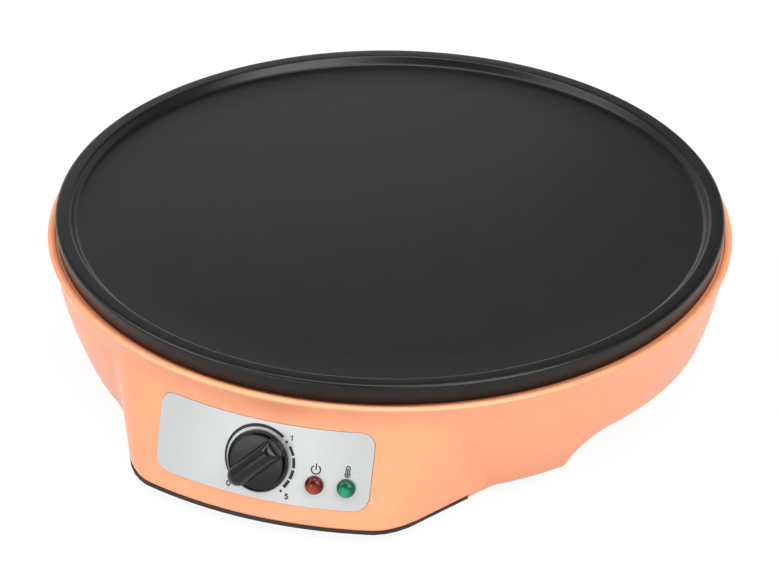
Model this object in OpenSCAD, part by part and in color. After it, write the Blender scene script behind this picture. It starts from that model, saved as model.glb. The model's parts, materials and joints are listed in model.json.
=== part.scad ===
// Electric crepe maker: a round non-stick plate on a moulded bowl-shaped housing,
// with a leaning control console at the front. Millimetres, +Z up. The origin lies on the
// surface that the feet stand on, under the middle of the whole object. The console faces -Y.

/* [Cooking plate] */
// Diameter of the plate across its rim
plate_d = 310; // [280:1:372]
// Height of the band round the plate's edge
band_h = 10; // [8:0.5:12]
// How much the band's radius shrinks towards its bottom
band_taper = 0.7; // [0.5:0.1:2]
// Width of the flat top of the rim
rim_w = 6.9; // [5:0.1:9]
// Radius of the rounding on both edges of the rim
rim_round = 1.6; // [0.8:0.1:2.2]
// Width of the slope from the rim to the cooking surface
slope_w = 2.4; // [2:0.1:5]
// Depth of the cooking surface below the rim
recess_h = 4; // [3:0.1:6]
// Radius of the hollow rounding at the slope's foot
foot_fillet = 2.4; // [1:0.1:3]
// Thickness of the plate under the cooking surface
plate_t = 5; // [4:0.1:6]
// Distance of the plate's mounting bosses from its axis
boss_ring_r = 122; // [116:1:126]
// Diameter of a mounting boss
boss_d = 12; // [10:0.5:14]

/* [Housing] */
// Height of the whole object, from the table to the top of the rim
overall_h = 72.5; // [66:0.5:87]
// Wall of the moulded housing
wall = 2.4; // [1.8:0.1:3]
// How far the lip stands out past the plate's rim
lip_overhang = 3.9; // [3:0.1:6]
// Gap between the plate's band and the ledge below it
ledge_gap = 1.1; // [0.8:0.1:2]
// How far the lip's edge rises above the ledge inside it
lip_rise = 1.5; // [0.5:0.1:2.5]
// Height of the lip band round the top of the housing
lip_h = 9.5; // [8:0.5:12]
// How far the lip band draws in towards its bottom
lip_taper = 3.9; // [2:0.1:5]
// How far the bowl draws in from the lip to its foot
bowl_taper = 17.2; // [12:0.1:22]
// Bulge of the bowl's wall past a straight line
bowl_bulge = 1.3; // [0.5:0.1:3]
// Radius of the rounding at the bowl's foot
foot_round = 4.4; // [3:0.1:6]
// Width of the hand recess under each side, front to back
hand_w = 166; // [130:1:180]
// Height of the hand recess above the table
hand_h = 25; // [22:0.5:30]
// Distance of the hand recess's inner wall from the plate's axis
hand_in = 106; // [104:1:112]
// Radius of the hand recess's upper corners
hand_round = 14; // [8:1:18]

/* [Console] */
// How far the console's foot stands out in front of the bowl's foot
console_reach = 32.7; // [28:1:40]
// Radius of the console's curved face, at its foot
face_foot_r = 180.5; // [160:0.5:220]
// Lean of the console's face back from upright
lean = 16.5; // [12:0.5:20]
// Half width of the console's face at its foot
face_foot_half = 61.9; // [60:0.1:66]
// Half width of the console's face at the lip
face_top_half = 78.7; // [72:0.1:84]
// Angle by which the console's sides open towards the back
side_splay = 28; // [24:0.5:34]
// Depth of the bevel on the console's upright corners
corner_bevel = 2.2; // [1:0.1:3]

/* [Control panel] */
// Width of the control panel
panel_w = 100.8; // [98:0.2:106]
// Thickness of the control panel
panel_t = 0.8; // [0.6:0.1:1.2]
// How far the control panel stands proud of the face
panel_proud = 0.3; // [0.1:0.1:0.5]
// Corner radius of the control panel
panel_round = 6.5; // [4:0.5:9]
// Space between the lip band and the top of the panel
panel_top_gap = 2; // [1:0.1:4]
// Space between the panel and the bottom of the console
panel_foot_gap = 10; // [8:0.1:14]
// Sideways places of the two indicator lamps
lamp_x = [26.35, 40.25];
// How far the lamps sit below the knob's centre
lamp_drop = 6.8; // [4:0.1:9]
// Diameter of an indicator lens
lens_d = 8.4; // [7:0.1:9]

/* [Knob] */
// Diameter of the knob's skirt
knob_d = 28.2; // [26:0.2:30]
// Height of the knob above the console's face
knob_h = 13; // [12:0.5:16]
// Sideways place of the knob, from the panel's middle
knob_x = 0.5; // [-1:0.1:1]
// How far the knob's centre sits below the panel's middle
knob_low = 0.4; // [0:0.1:1]
// Width of the knob's grip bar
grip_w = 9.6; // [8:0.2:11]
// Turn of the knob from off to its far stop
knob_turn = 270; // [240:5:290]
// Diameter of the thermostat's spindle
spindle_d = 6; // [5:0.5:8]
// Diameter of the thermostat's threaded bush
bush_d = 10; // [9:0.5:12]
// Radial clearance of a turning fit
run_fit = 0.05; // [0.03:0.01:0.1]

/* [Underside] */
// Height of a rubber foot below the base cover
foot_h = 5.5; // [4:0.5:8]
// Diameter of a rubber foot
foot_d = 18; // [14:0.5:22]
// Sheet thickness of the base cover
cover_t = 1.5; // [1:0.1:2]
// Half angle over which the cover's edge shows under the console
tongue_angle = 34.5; // [30:0.5:38]
// Sideways and lengthways distance of the feet from the plate's axis
foot_at = [92, 82];
// Sideways and lengthways distance of the cover posts from the plate's axis
post_at = [72, 97];
// Sideways and lengthways distance of the console posts from the plate's axis
front_post_at = [50, 137];
// Diameter of a post
post_d = 9; // [8:0.5:11]
// Clearance between parts that are pushed together
fit = 0.2; // [0.1:0.05:0.4]

/* [Heating] */
// Diameter of the tubular heating element
element_d = 6.5; // [6:0.1:8]
// Radius of the element's loop
element_r = 95; // [90:1:99]
// Half the distance between the element's cold ends
pin_half = 28; // [22:1:34]
// How far the element sinks into the plate
element_sink = 1.6; // [1:0.1:2]
// Sheet thickness of the heat shield
shield_t = 0.6; // [0.5:0.1:1]
// Depth of the heat shield's dish below its flange
dish_h = 11.4; // [9:0.2:14]
// Radius of the heat shield's dish
dish_r = 112; // [108:1:114]

/* [Cord entry] */
// Bore of the cord gland
gland_bore = 7.2; // [6:0.1:8.5]
// Diameter of the gland's barrel
gland_d = 13; // [11:0.5:15]
// Height of the gland above the table
gland_z = 21; // [19:0.5:24]

/* [Hidden] */

$fn = 96;
eps = 0.01;

// Levels, from the table up.
foot_z = foot_h;
cover_z = foot_z + cover_t;
rim_z = overall_h;
surface_z = rim_z - recess_h;
under_z = surface_z - plate_t;
band_z = rim_z - band_h;
ledge_z = band_z - ledge_gap;
lip_z = ledge_z - lip_h;
lip_top_z = ledge_z + lip_rise;
web_t = wall;
web_z = lip_z + fit;
shield_z = web_z + shield_t;
dish_z = shield_z - shield_t - dish_h;

// Radii about the plate's axis.
plate_r = plate_d / 2;
rim_in_r = plate_r - rim_w;
surface_r = rim_in_r - slope_w;
lip_r = plate_r + lip_overhang;
wall_r = lip_r - lip_taper;
bowl_foot_r = wall_r - bowl_taper;
ledge_in_r = plate_r - 5;
ledge_out_r = plate_r + 0.7;
lip_edge = [0.6, 1.4];
lip_crest_r = lip_r - 1.4;
slope_angle = atan(recess_h / slope_w);
web_in_r = dish_r + 1.5;
cover_r = bowl_foot_r - wall - fit;

// Bowl wall: a straight start under the lip, then an arc down to the foot.
arc_top_z = lip_z - 3;
arc_foot_z = foot_z + 4;
arc_foot_r = bowl_foot_r + foot_round + 0.5;

// Console face: a cone about an axis of its own, behind the plate's axis by face_back.
face_reach = bowl_foot_r + console_reach;
face_back = face_foot_r - face_reach;
panel_top_z = lip_z - panel_top_gap;
panel_foot_z = cover_z + panel_foot_gap - cover_t;
knob_z = (panel_top_z + panel_foot_z) / 2 - knob_low;
lamp_z = knob_z - lamp_drop;

// The knob: a bar across a skirt. Its nose points down to the left when the heater is off.
nose_r = grip_w / 2;
nose_out = knob_d / 2 - nose_r;
nose_edge = 2.6;
off_angle = 225;
knob_gap = 0.3;
skirt_z = panel_proud + knob_gap;
ring_z = skirt_z + 2.2;
disc_z = ring_z + 1.25;
groove_z = ring_z - 1;
nose_drop = nose_out * sin(off_angle - 180);
knob_reach = face_r(knob_z) - face_back + (knob_h - nose_edge) * cos(lean)
    + (nose_drop + nose_r - nose_edge) * sin(lean) + nose_edge;

// The plate's axis, placed so that the whole object is centred front to back.
axis_y = (knob_reach - lip_r) / 2;
face_y = axis_y + face_back;

// Thermostat, in the knob's own frame: +Z out of the face, 0 on the face.
pad_z = -wall - 1;
bush_flange_t = 1.2;
case_front_z = pad_z - bush_flange_t;
case_size = [32, 30, 17];
case_wall = 2;
cavity_h = 6;
spindle_front_z = knob_h - 3;
cam_r = 8;
cam_t = 3;
cam_z = case_front_z - cavity_h + 1.5;
stop_r = 11;
peg_half = 1.5;
nut_af = 14;
nut_t = 1.8;
washer_t = 0.8;
washer_z = panel_proud + 0.05;
nut_z = washer_z + washer_t;
bush_front_z = nut_z + nut_t + 0.05;
spring_z = bush_front_z + 1.4;
spring_l = 3.8;

// Fasteners and small parts.
plate_screw_d = 4;
plate_screw_depth = 8;
plate_washer_t = 1;
small_screw_d = 3;
cover_screw_d = 3.5;
strap_t = 1;
strap_w = 8;
strap_angles = [45, 135, 225, 315];
bulb_d = 6;
bulb_l = 60;
bulb_at = [0, -44];
fuse_d = 4;
fuse_l = 14;
fuse_at = [0, 44];
fuse_end = fuse_l / 2 + 10;
earth_at = [52, 30];
boss_angles = [0, 90, 180, 270];
element_z = under_z + element_sink - element_d / 2;
pin_y = -sqrt(element_r * element_r - pin_half * pin_half);
pin_bend = 8;
pin_foot_z = dish_z - 10;

// Terminal block, on the base cover behind the middle.
block_size = [34, 20, 14];
block_at = [0, 62];
block_pitch = 10;
block_z = cover_z;

// Lamps, in each lamp's own frame on the face.
lens_wall = 1;
lens_l = 13;
lens_flange = 0.3;
lamp_d = 5;
lamp_l = 10;

// Gland, along +Y through the back wall.
gland_pad_y = axis_y + wall_r - 3;
gland_pad_l = 14;
gland_flange_t = 3;
gland_flange_d = 18;
gland_nut_t = 4;
gland_l = gland_pad_l + gland_nut_t + 2;

// ---------- shared helpers ----------

// Radius of the console's face at a height, about the face's own axis.
function face_r(z) = face_foot_r - (z - foot_z) * tan(lean);

// Point on the console's face at a sideways place and a height, seen from the plate's axis.
function face_point(x, z) = [x, face_back - sqrt(pow(face_r(z), 2) - x * x), z];

// Points given in a frame on the console's face, such as on_face makes, seen from the plate's axis.
function from_face(x, z, places) = [for (p = places)
    let (s = face_turn(x, z))
    [face_r(z) * sin(s), face_back - face_r(z) * cos(s), z] + p.x * [cos(s), sin(s), 0]
        + p.y * [-sin(s) * sin(lean), cos(s) * sin(lean), cos(lean)]
        + p.z * [sin(s) * cos(lean), -cos(s) * cos(lean), sin(lean)]];

// Turn about the face's axis that reaches a sideways place at a height.
function face_turn(x, z) = asin(x / face_r(z));

// Points on a circle's arc.
function arc(c, r, a0, a1, n) = [for (i = [0:n]) let (a = a0 + (a1 - a0) * i / n) c + r * [cos(a), sin(a)]];

// Points on an arc from p to q that bulges to the right of the way by sag.
function bulge(p, q, sag, n) = [for (i = [0:n])
    let (t = i / n, d = q - p, side = [d.y, -d.x] / norm(d))
    p + d * t + side * sag * 4 * t * (1 - t)];

// Moves children onto the plate's axis.
module on_axis() {
    translate([0, axis_y, 0]) children();
}

// Children drawn around a point on the console's face, +Z straight out of it.
module on_face(x, z) {
    translate([0, face_y, 0])
        rotate([0, 0, face_turn(x, z)])
            translate([0, -face_r(z), z])
                rotate([90 - lean, 0, 0]) children();
}

// Cylinder between two heights.
module rod(r, z0, z1) {
    translate([0, 0, z0]) cylinder(r = r, h = z1 - z0);
}

// Hexagon prism between two heights.
module hexagon(across, z0, z1) {
    translate([0, 0, z0]) cylinder(d = across / cos(30), h = z1 - z0, $fn = 6);
}

// Pan-head screw standing on its head: the head's seat is at z = 0, the shank points up.
module screw(d, l, head_d, head_h) {
    difference() {
        union() {
            rod(head_d / 2, -head_h, 0);
            rod(d / 2, -eps, l);
        }
        for (a = [0, 90]) rotate([0, 0, a])
            translate([-head_d / 3, -d / 10, -head_h - eps])
                cube([head_d / 1.5, d / 5, head_h / 2]);
    }
}

// A smooth way through chosen points, with n steps between each two. Both ends run straight.
// At each point it heads from the one before to the one after, and it never swings back.
function way(p, n) = let (m = len(p) - 1) concat([p[0], p[0] + 0.4 * unit(p[1] - p[0])],
    [for (i = [0:m - 1], k = [0:n - 1]) if (i + k > 0)
        let (t = k / n, b = p[i], c = p[i + 1], l = norm(c - b),
            from = l * unit(c - p[max(i - 1, 0)]), to = l * unit(p[min(i + 2, m)] - b))
        b + (c - b) * t * t * (3 - 2 * t) + from * t * (1 - t) * (1 - t) - to * t * t * (1 - t)],
    [p[m] + 0.4 * unit(p[m - 1] - p[m]), p[m]]);

function unit(v) = v / norm(v);

// A round wire swept along a way, as a closed solid. side is not along the wire's start.
module wire(p, d, side, sides = 8) {
    n = len(p);
    along = [for (i = [0:n - 1]) unit(p[min(i + 1, n - 1)] - p[max(i - 1, 0)])];
    across = [for (i = 0, u = unit(cross(along[0], side)); i < n;
        i = i + 1, u = i < n ? unit(u - (u * along[i]) * along[i]) : u) u];
    rings = [for (i = [0:n - 1], k = [0:sides - 1])
        p[i] + d / 2 * (cos(360 * k / sides) * across[i]
            + sin(360 * k / sides) * cross(along[i], across[i]))];
    skin = [for (i = [0:n - 2], k = [0:sides - 1])
        let (a = i * sides + k, b = i * sides + (k + 1) % sides)
        [a, a + sides, b + sides, b]];
    polyhedron(rings, concat(skin, [[for (k = [0:sides - 1]) k],
        [for (k = [0:sides - 1]) (n - 1) * sides + sides - 1 - k]]));
}

// ---------- cooking plate ----------

// Half section of the plate: cooking surface, raised rim and outer band.
function plate_section() = concat(
    [[0, under_z], [plate_r - 6, under_z], [plate_r - 6, band_z], [plate_r - band_taper - 0.5, band_z],
        [plate_r - band_taper, band_z + 0.5]],
    arc([plate_r - rim_round, rim_z - rim_round], rim_round, 0, 90, 7),
    arc([rim_in_r + rim_round * tan(slope_angle / 2), rim_z - rim_round],
        rim_round, 90, 90 + slope_angle, 5),
    arc([surface_r - foot_fillet * tan(slope_angle / 2), surface_z + foot_fillet],
        foot_fillet, slope_angle - 90, -90, 5),
    [[0, surface_z]]);

// A strap's two land bosses and their screws lie this far either side of the loop.
land_out = 11;
land_z = element_z - element_d / 2;

module strap_places() {
    for (a = strap_angles) rotate([0, 0, a]) translate([0, -element_r, 0]) children();
}

module element_loop(r) {
    rotate([0, 0, pin_gap - 90])
        rotate_extrude(angle = 360 - 2 * pin_gap)
            translate([element_r, 0]) circle(r = r, $fn = 32);
}

module cooking_plate() {
    color("#303030") difference() {
        on_axis() union() {
            rotate_extrude() polygon(plate_section());
            for (a = boss_angles) rotate([0, 0, a]) translate([0, -boss_ring_r, 0])
                rod(boss_d / 2, shield_z, under_z + 1);
            strap_places() for (s = [-1, 1]) translate([0, s * land_out, 0])
                rod(4, land_z, under_z + 1);
            translate([bulb_at.x, bulb_at.y, 0]) for (s = [-1, 1]) translate([0, s * 9, 0])
                rod(3.5, under_z - bulb_d, under_z + 1);
            translate([fuse_at.x, fuse_at.y + 8, 0]) rod(3.5, under_z - fuse_d - 0.6, under_z + 1);
            translate([earth_at.x, earth_at.y, 0]) rod(5, under_z - 6, under_z + 1);
        }
        on_axis() {
            translate([0, 0, element_z]) element_loop(element_d / 2 + fit / 2);
            for (s = [0, 1]) mirror([s, 0, 0]) element_bend(element_d / 2 + fit + 0.1);
            for (a = boss_angles) rotate([0, 0, a]) translate([0, -boss_ring_r, 0])
                rod(plate_screw_d / 2, shield_z - 1, shield_z + plate_screw_depth + 1);
            strap_places() for (s = [-1, 1]) translate([0, s * land_out, 0])
                rod(small_screw_d / 2, land_z - 1, land_z + 6);
            translate([bulb_at.x, bulb_at.y, 0]) for (s = [-1, 1]) translate([0, s * 9, 0])
                rod(small_screw_d / 2, under_z - bulb_d - 1, under_z);
            translate([fuse_at.x, fuse_at.y + 8, 0])
                rod(small_screw_d / 2, under_z - fuse_d - 2, under_z + 0.5);
            translate([earth_at.x, earth_at.y, 0]) rod(plate_screw_d / 2, under_z - 7, under_z + 1);
        }
    }
}

// The screws come up through the web and the shield's flange into the plate's bosses.
module plate_screws() {
    color("silver") on_axis() for (a = boss_angles) rotate([0, 0, a])
        translate([0, -boss_ring_r, web_z - web_t - plate_washer_t])
            screw(plate_screw_d, web_t + plate_washer_t + shield_t + plate_screw_depth, 8, 3);
}

module plate_washers() {
    color("silver") on_axis() for (a = boss_angles) rotate([0, 0, a])
        translate([0, -boss_ring_r, web_z - web_t - plate_washer_t]) difference() {
            rod(5, 0, plate_washer_t);
            rod(plate_screw_d / 2 + fit, -1, plate_washer_t + 1);
        }
}

// ---------- heating ----------

// The loop's two ends turn straight down through the shield, about one of these bends each.
pin_gap = asin((pin_half + pin_bend) / element_r);
bend_lap = 3;

module element_bend(r) {
    translate([pin_half + pin_bend, -element_r * cos(pin_gap), element_z - pin_bend]) rotate([0, 0, pin_gap])
        rotate([90, 0, 0]) rotate([0, 0, 90 - bend_lap]) rotate_extrude(angle = 90 + 2 * bend_lap)
            translate([pin_bend, 0]) circle(r = r, $fn = 32);
}

// Place of a cold pin's axis, from the plate's axis.
pin_at = [pin_half + pin_bend - pin_bend * cos(pin_gap),
    -element_r * cos(pin_gap) - pin_bend * sin(pin_gap)];

module pin_places() {
    for (s = [-1, 1]) translate([s * pin_at.x, pin_at.y, 0]) children();
}

module heating_element() {
    color("#6f6a64") on_axis() {
        translate([0, 0, element_z]) element_loop(element_d / 2);
        for (s = [0, 1]) mirror([s, 0, 0]) element_bend(element_d / 2 - 0.1);
        pin_places() rod(element_d / 2, pin_foot_z, element_z - pin_bend);
    }
}

// A ceramic bead closes each cold end.
module element_insulators() {
    color("ivory") on_axis() pin_places() difference() {
        rod(element_d / 2 - 0.3, pin_foot_z - 4, pin_foot_z);
        rod(1.2, pin_foot_z - 5, pin_foot_z + 1);
    }
}

module element_tabs() {
    color("silver") on_axis() pin_places() {
        rod(1.2 - run_fit, pin_foot_z - 5, pin_foot_z);
        translate([-3.15, -0.4, pin_foot_z - 12]) cube([6.3, 0.8, 7 + eps]);
    }
}

module element_straps() {
    color("silver") on_axis() strap_places() difference() {
        translate([-strap_w / 2, -land_out - 4, land_z - strap_t])
            cube([strap_w, 2 * land_out + 8, strap_t]);
        for (s = [-1, 1]) translate([0, s * land_out, 0])
            rod(small_screw_d / 2 + fit, land_z - strap_t - 1, land_z + 1);
    }
}

module strap_screws() {
    color("silver") on_axis() strap_places() for (s = [-1, 1])
        translate([0, s * land_out, land_z - strap_t]) screw(small_screw_d, strap_t + 5, 5.6, 2);
}

// A pressed dish under the plate keeps its heat off the housing.
module heat_shield() {
    color("gainsboro") on_axis() difference() {
        rotate_extrude() polygon([[0, dish_z], [dish_r - 8, dish_z], [dish_r, web_z],
            [boss_ring_r + 8, web_z], [boss_ring_r + 8, shield_z], [dish_r - 0.6, shield_z],
            [dish_r - 8.6, dish_z + shield_t], [0, dish_z + shield_t]]);
        for (a = boss_angles) rotate([0, 0, a]) translate([0, -boss_ring_r, 0])
            rod(plate_screw_d / 2 + fit, web_z - 1, shield_z + 1);
        pin_places() rod(element_d / 2 + 1, dish_z - 1, dish_z + 2);
        for (x = [-24, 24]) translate([x, fuse_at.y, 0]) rod(3, dish_z - 1, dish_z + 2);
        translate([bulb_at.x - 48, bulb_at.y, 0]) rod(3, dish_z - 1, dish_z + 2);
        translate([earth_at.x + 18, earth_at.y, 0]) rod(3, dish_z - 1, dish_z + 2);
    }
}

module earth_tag() {
    color("goldenrod") on_axis() translate([earth_at.x, earth_at.y, under_z - 6.8]) difference() {
        union() {
            rod(5, 0, 0.8);
            translate([0, -3.15, 0]) cube([12, 6.3, 0.8]);
        }
        rod(plate_screw_d / 2 + fit, -1, 2);
    }
}

module earth_screw() {
    color("goldenrod") on_axis() translate([earth_at.x, earth_at.y, under_z - 6.8])
        screw(plate_screw_d, 6.4, 8, 3);
}

// ---------- temperature sensing ----------

bulb_z = under_z - bulb_d / 2;

module sensor_bulb() {
    color("peru") on_axis() translate([bulb_at.x - bulb_l / 2, bulb_at.y, bulb_z])
        rotate([0, 90, 0]) rod(bulb_d / 2 - 0.05, 0, bulb_l);
}

module bulb_clip() {
    color("silver") on_axis() translate([bulb_at.x, bulb_at.y, under_z - bulb_d]) difference() {
        translate([-4, -13, -strap_t]) cube([8, 26, strap_t]);
        for (s = [-1, 1]) translate([0, s * 9, 0]) rod(small_screw_d / 2 + fit, -strap_t - 1, 1);
    }
}

module bulb_clip_screws() {
    color("silver") on_axis() translate([bulb_at.x, bulb_at.y, under_z - bulb_d - strap_t])
        for (s = [-1, 1]) translate([0, s * 9, 0]) screw(small_screw_d, strap_t + 5, 5.6, 2);
}

module thermal_fuse() {
    color("silver") on_axis() translate([fuse_at.x, fuse_at.y, under_z - fuse_d / 2 - 0.3]) {
        translate([-fuse_l / 2, 0, 0]) rotate([0, 90, 0]) rod(fuse_d / 2, 0, fuse_l);
        translate([-fuse_l / 2 - 10, 0, 0]) rotate([0, 90, 0]) rod(0.5, 0, fuse_l + 20);
    }
}

module fuse_clip() {
    color("silver") on_axis() translate([fuse_at.x, fuse_at.y, under_z - fuse_d - 0.6]) difference() {
        translate([-4, -4, -strap_t]) cube([8, 16, strap_t]);
        translate([0, 8, 0]) rod(small_screw_d / 2 + fit, -strap_t - 1, 1);
    }
}

module fuse_clip_screw() {
    color("silver") on_axis() translate([fuse_at.x, fuse_at.y + 8, under_z - fuse_d - 0.6 - strap_t])
        screw(small_screw_d, strap_t + 4, 5.6, 2);
}

// ---------- housing ----------

// Radius of the lip band's outer cone at a height.
function lip_line(z) = wall_r + lip_taper * (z - lip_z) / (lip_top_z - lip_edge[1] - lip_z);

// Outer line of the bowl, from its foot up to the lip band, moved in by inset.
function bowl_line(inset) = concat(
    [[bowl_foot_r - inset, foot_z]],
    arc([arc_foot_r - foot_round - inset, arc_foot_z + 0.4], foot_round, -70, -18, 4),
    bulge([arc_foot_r - inset, arc_foot_z + 2], [wall_r - inset, arc_top_z], bowl_bulge, 8),
    [[wall_r - inset, lip_z]]);

module bowl(inset, z_top) {
    on_axis() rotate_extrude() polygon(concat(
        [[0, foot_z - (inset > 0 ? 1 : 0)], [bowl_foot_r - inset, foot_z - (inset > 0 ? 1 : 0)]],
        bowl_line(inset),
        inset > 0 ? [[lip_line(z_top) - inset, z_top]]
            : [[lip_r, z_top - lip_edge[1]], [lip_r - lip_edge[0], z_top]],
        [[0, z_top]]));
}

// Outward direction of the console's right side, and of the narrow bevels that round its corner.
corner_foot = face_point(face_foot_half, foot_z);
corner_top = face_point(face_top_half, lip_z);
side_out = unit(cross([sin(side_splay), cos(side_splay), 0], corner_top - corner_foot));
corner_turn = face_turn(face_foot_half, foot_z);
face_out = [sin(corner_turn) * cos(lean), -cos(corner_turn) * cos(lean), sin(lean)];
function bevel_out(t) = unit((1 - t) * face_out + t * side_out);

// A large block whose near face passes through p and looks back against the direction out.
module cut_beyond(p, out) {
    translate(p) rotate([0, -asin(out.z), atan2(out.y, out.x)])
        translate([0, -150, -150]) cube(300);
}

// The console as a solid: a cone's front cut to width by two leaning sides.
module console(inset, z_bottom, z_top) {
    on_axis() difference() {
        intersection() {
            translate([0, face_back, z_bottom])
                cylinder(r1 = face_r(z_bottom) - inset / cos(lean), r2 = face_r(z_top) - inset / cos(lean),
                    h = z_top - z_bottom);
            translate([-150, -face_reach - 20, z_bottom - 1])
                cube([300, face_reach + 20 - 90, z_top - z_bottom + 2]);
        }
        for (s = [0, 1]) mirror([s, 0, 0]) {
            cut_beyond(corner_foot - inset * side_out, side_out);
            for (t = [0.25, 0.5, 0.75]) {
                depth = inset + corner_bevel * (1 - pow(2 * t - 1, 2));
                cut_beyond(corner_foot - depth * bevel_out(t), bevel_out(t));
            }
        }
    }
}

// Space for a hand under each side, grown by the wall on its inner sides.
module hand_recess(grow) {
    on_axis() for (s = [0, 1]) mirror([s, 0, 0])
        translate([hand_in - grow, 0, 0]) rotate([90, 0, 90]) linear_extrude(80) {
            translate([-hand_w / 2 - grow, -1])
                square([hand_w + 2 * grow, hand_h + grow - hand_round + 1]);
            translate([-hand_w / 2 + hand_round, 0])
                square([hand_w - 2 * hand_round, hand_h + grow]);
            for (t = [-1, 1]) translate([t * (hand_w / 2 - hand_round), hand_h - hand_round])
                circle(r = hand_round + grow);
        }
}

// Sector of the plan in which the cover's edge shows under the console.
module tongue_sector(z0, z1) {
    on_axis() translate([0, 0, z0]) linear_extrude(z1 - z0)
        polygon([[0, 0], [-260 * sin(tongue_angle), -260 * cos(tongue_angle)],
            [260 * sin(tongue_angle), -260 * cos(tongue_angle)]]);
}

module post_places() {
    for (x = [-1, 1], y = [-1, 1]) translate([x * post_at.x, y * post_at.y, 0]) children();
    for (x = [-1, 1]) translate([x * front_post_at.x, -front_post_at.y, 0]) children();
}

// The moulded outside as one solid body.
module body_solid() {
    difference() {
        union() {
            bowl(0, lip_top_z);
            console(0, foot_z, ledge_z - 3);
        }
        hand_recess(0);
    }
}

// The hollow inside it.
module body_hollow() {
    difference() {
        union() {
            bowl(wall, ledge_z - wall);
            console(wall, foot_z - 1, ledge_z - 6);
        }
        hand_recess(wall);
    }
}

// Curved slab that follows the face, cut to the panel's outline grown by a clearance.
module panel_slab(low, high, clear) {
    half = panel_w / 2 + clear;
    z0 = panel_foot_z - clear;
    z1 = panel_top_z + clear;
    intersection() {
        translate([0, face_y, 0]) rotate_extrude()
            polygon([for (s = [[low, z0 - 1], [high, z0 - 1], [high, z1 + 1], [low, z1 + 1]])
                [face_r(s[1]) + s[0] / cos(lean), s[1]]]);
        translate([0, face_y - face_foot_r / 2, 0]) rotate([90, 0, 0]) linear_extrude(face_foot_r) {
            translate([-half, z0 + panel_round]) square([2 * half, z1 - z0 - 2 * panel_round]);
            translate([-half + panel_round, z0]) square([2 * half - 2 * panel_round, z1 - z0]);
            for (x = [-half + panel_round, half - panel_round], z = [z0 + panel_round, z1 - panel_round])
                translate([x, z]) circle(r = panel_round);
        }
    }
}

module housing() {
    color("#f9ab7d") difference() {
        union() {
            difference() {
                body_solid();
                body_hollow();
                on_axis() rod(ledge_in_r, ledge_z - 10, ledge_z + 10);
            }
            intersection() {
                body_solid();
                on_axis() union() {
                    difference() {
                        rod(lip_r + 30, web_z - web_t, web_z);
                        rod(web_in_r, web_z - web_t - 1, web_z + 1);
                    }
                    post_places() rod(post_d / 2, foot_z, web_z - 1);
                }
            }
            on_face(knob_x, knob_z) rod(12, pad_z, -1);
            translate([0, gland_pad_y - gland_pad_l, gland_z]) rotate([-90, 0, 0])
                rod(11, 0, gland_pad_l);
        }
        // The ledge round the plate, and the slope up to the lip's edge.
        on_axis() translate([0, 0, ledge_z])
            cylinder(r1 = ledge_out_r, r2 = lip_crest_r, h = lip_rise + eps);
        // The cover lies in here, between the walls and under the console and the posts.
        tongue_sector(foot_z - 1, cover_z);
        on_axis() post_places() rod(post_d, foot_z - 1, cover_z);
        on_axis() post_places() rod(cover_screw_d / 2, cover_z - 1, cover_z + 12);
        on_axis() for (a = boss_angles) rotate([0, 0, a]) translate([0, -boss_ring_r, 0])
            rod(plate_screw_d / 2 + fit, web_z - web_t - 1, web_z + 1);
        panel_slab(panel_proud - panel_t, 3, fit / 2);
        on_face(knob_x, knob_z) rod(bush_d / 2 + fit, -20, 5);
        for (x = lamp_x) on_face(x, lamp_z) rod(lens_d / 2 - 0.6 + fit, -10, 5);
        translate([0, gland_pad_y - gland_pad_l - 1, gland_z]) rotate([-90, 0, 0])
            rod(gland_d / 2 + fit, 0, gland_pad_l + 2);
    }
}

// ---------- control panel ----------

module control_panel() {
    color("gainsboro") difference() {
        panel_slab(panel_proud - panel_t, panel_proud, 0);
        on_face(knob_x, knob_z) rod(bush_d / 2 + fit, -5, 5);
        for (x = lamp_x) on_face(x, lamp_z) rod(lens_d / 2 - 0.6 + fit, -5, 5);
    }
}

// ---------- knob ----------

// A dome-edged end of the grip, as a half section.
function nose_section() = concat([[0, skirt_z + 1], [nose_r, skirt_z + 1]],
    arc([nose_r - nose_edge, knob_h - nose_edge], nose_edge, 0, 90, 5), [[0, knob_h]]);

module knob() {
    ring_w = 0.9;
    groove_w = 0.8;
    edge = 0.4;
    ring_in_r = knob_d / 2 - ring_w;
    disc_r = ring_in_r - groove_w;
    color("#262626") on_face(knob_x, knob_z) rotate([0, 0, off_angle]) difference() {
        union() {
            // Skirt: a narrow ring and a groove round a disc.
            rotate_extrude() polygon([[0, skirt_z], [knob_d / 2, skirt_z], [knob_d / 2, ring_z - edge],
                [knob_d / 2 - edge, ring_z], [ring_in_r, ring_z], [ring_in_r, groove_z],
                [disc_r, groove_z], [disc_r, disc_z - edge], [disc_r - edge, disc_z], [0, disc_z]]);
            // Grip bar: two domed ends joined by a straight run.
            for (x = [-nose_out, nose_out]) translate([x, 0, 0]) rotate_extrude() polygon(nose_section());
            translate([-nose_out, 0, 0]) rotate([90, 0, 90]) linear_extrude(2 * nose_out)
                polygon(concat(nose_section(),
                    [for (i = [len(nose_section()) - 2:-1:1]) [-nose_section()[i].x, nose_section()[i].y]]));
        }
        // Blind bore for the spindle, with a flat that the spring fills.
        rod(spindle_d / 2 + run_fit, skirt_z - 1, spindle_front_z + 0.5);
        translate([-2, spindle_d / 2 - 1, skirt_z - 1]) cube([4, 1.8, spring_z + spring_l - skirt_z + 1.2]);
        // Hollow under the skirt for the nut and the washer.
        rod(nut_af / 2 / cos(30) + 0.8, skirt_z - 1, bush_front_z + 0.35);
    }
}

module knob_spring() {
    color("silver") on_face(knob_x, knob_z) rotate([0, 0, off_angle])
        translate([-1.8, spindle_d / 2 - 0.9, spring_z]) cube([3.6, 0.6, spring_l]);
}

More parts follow.
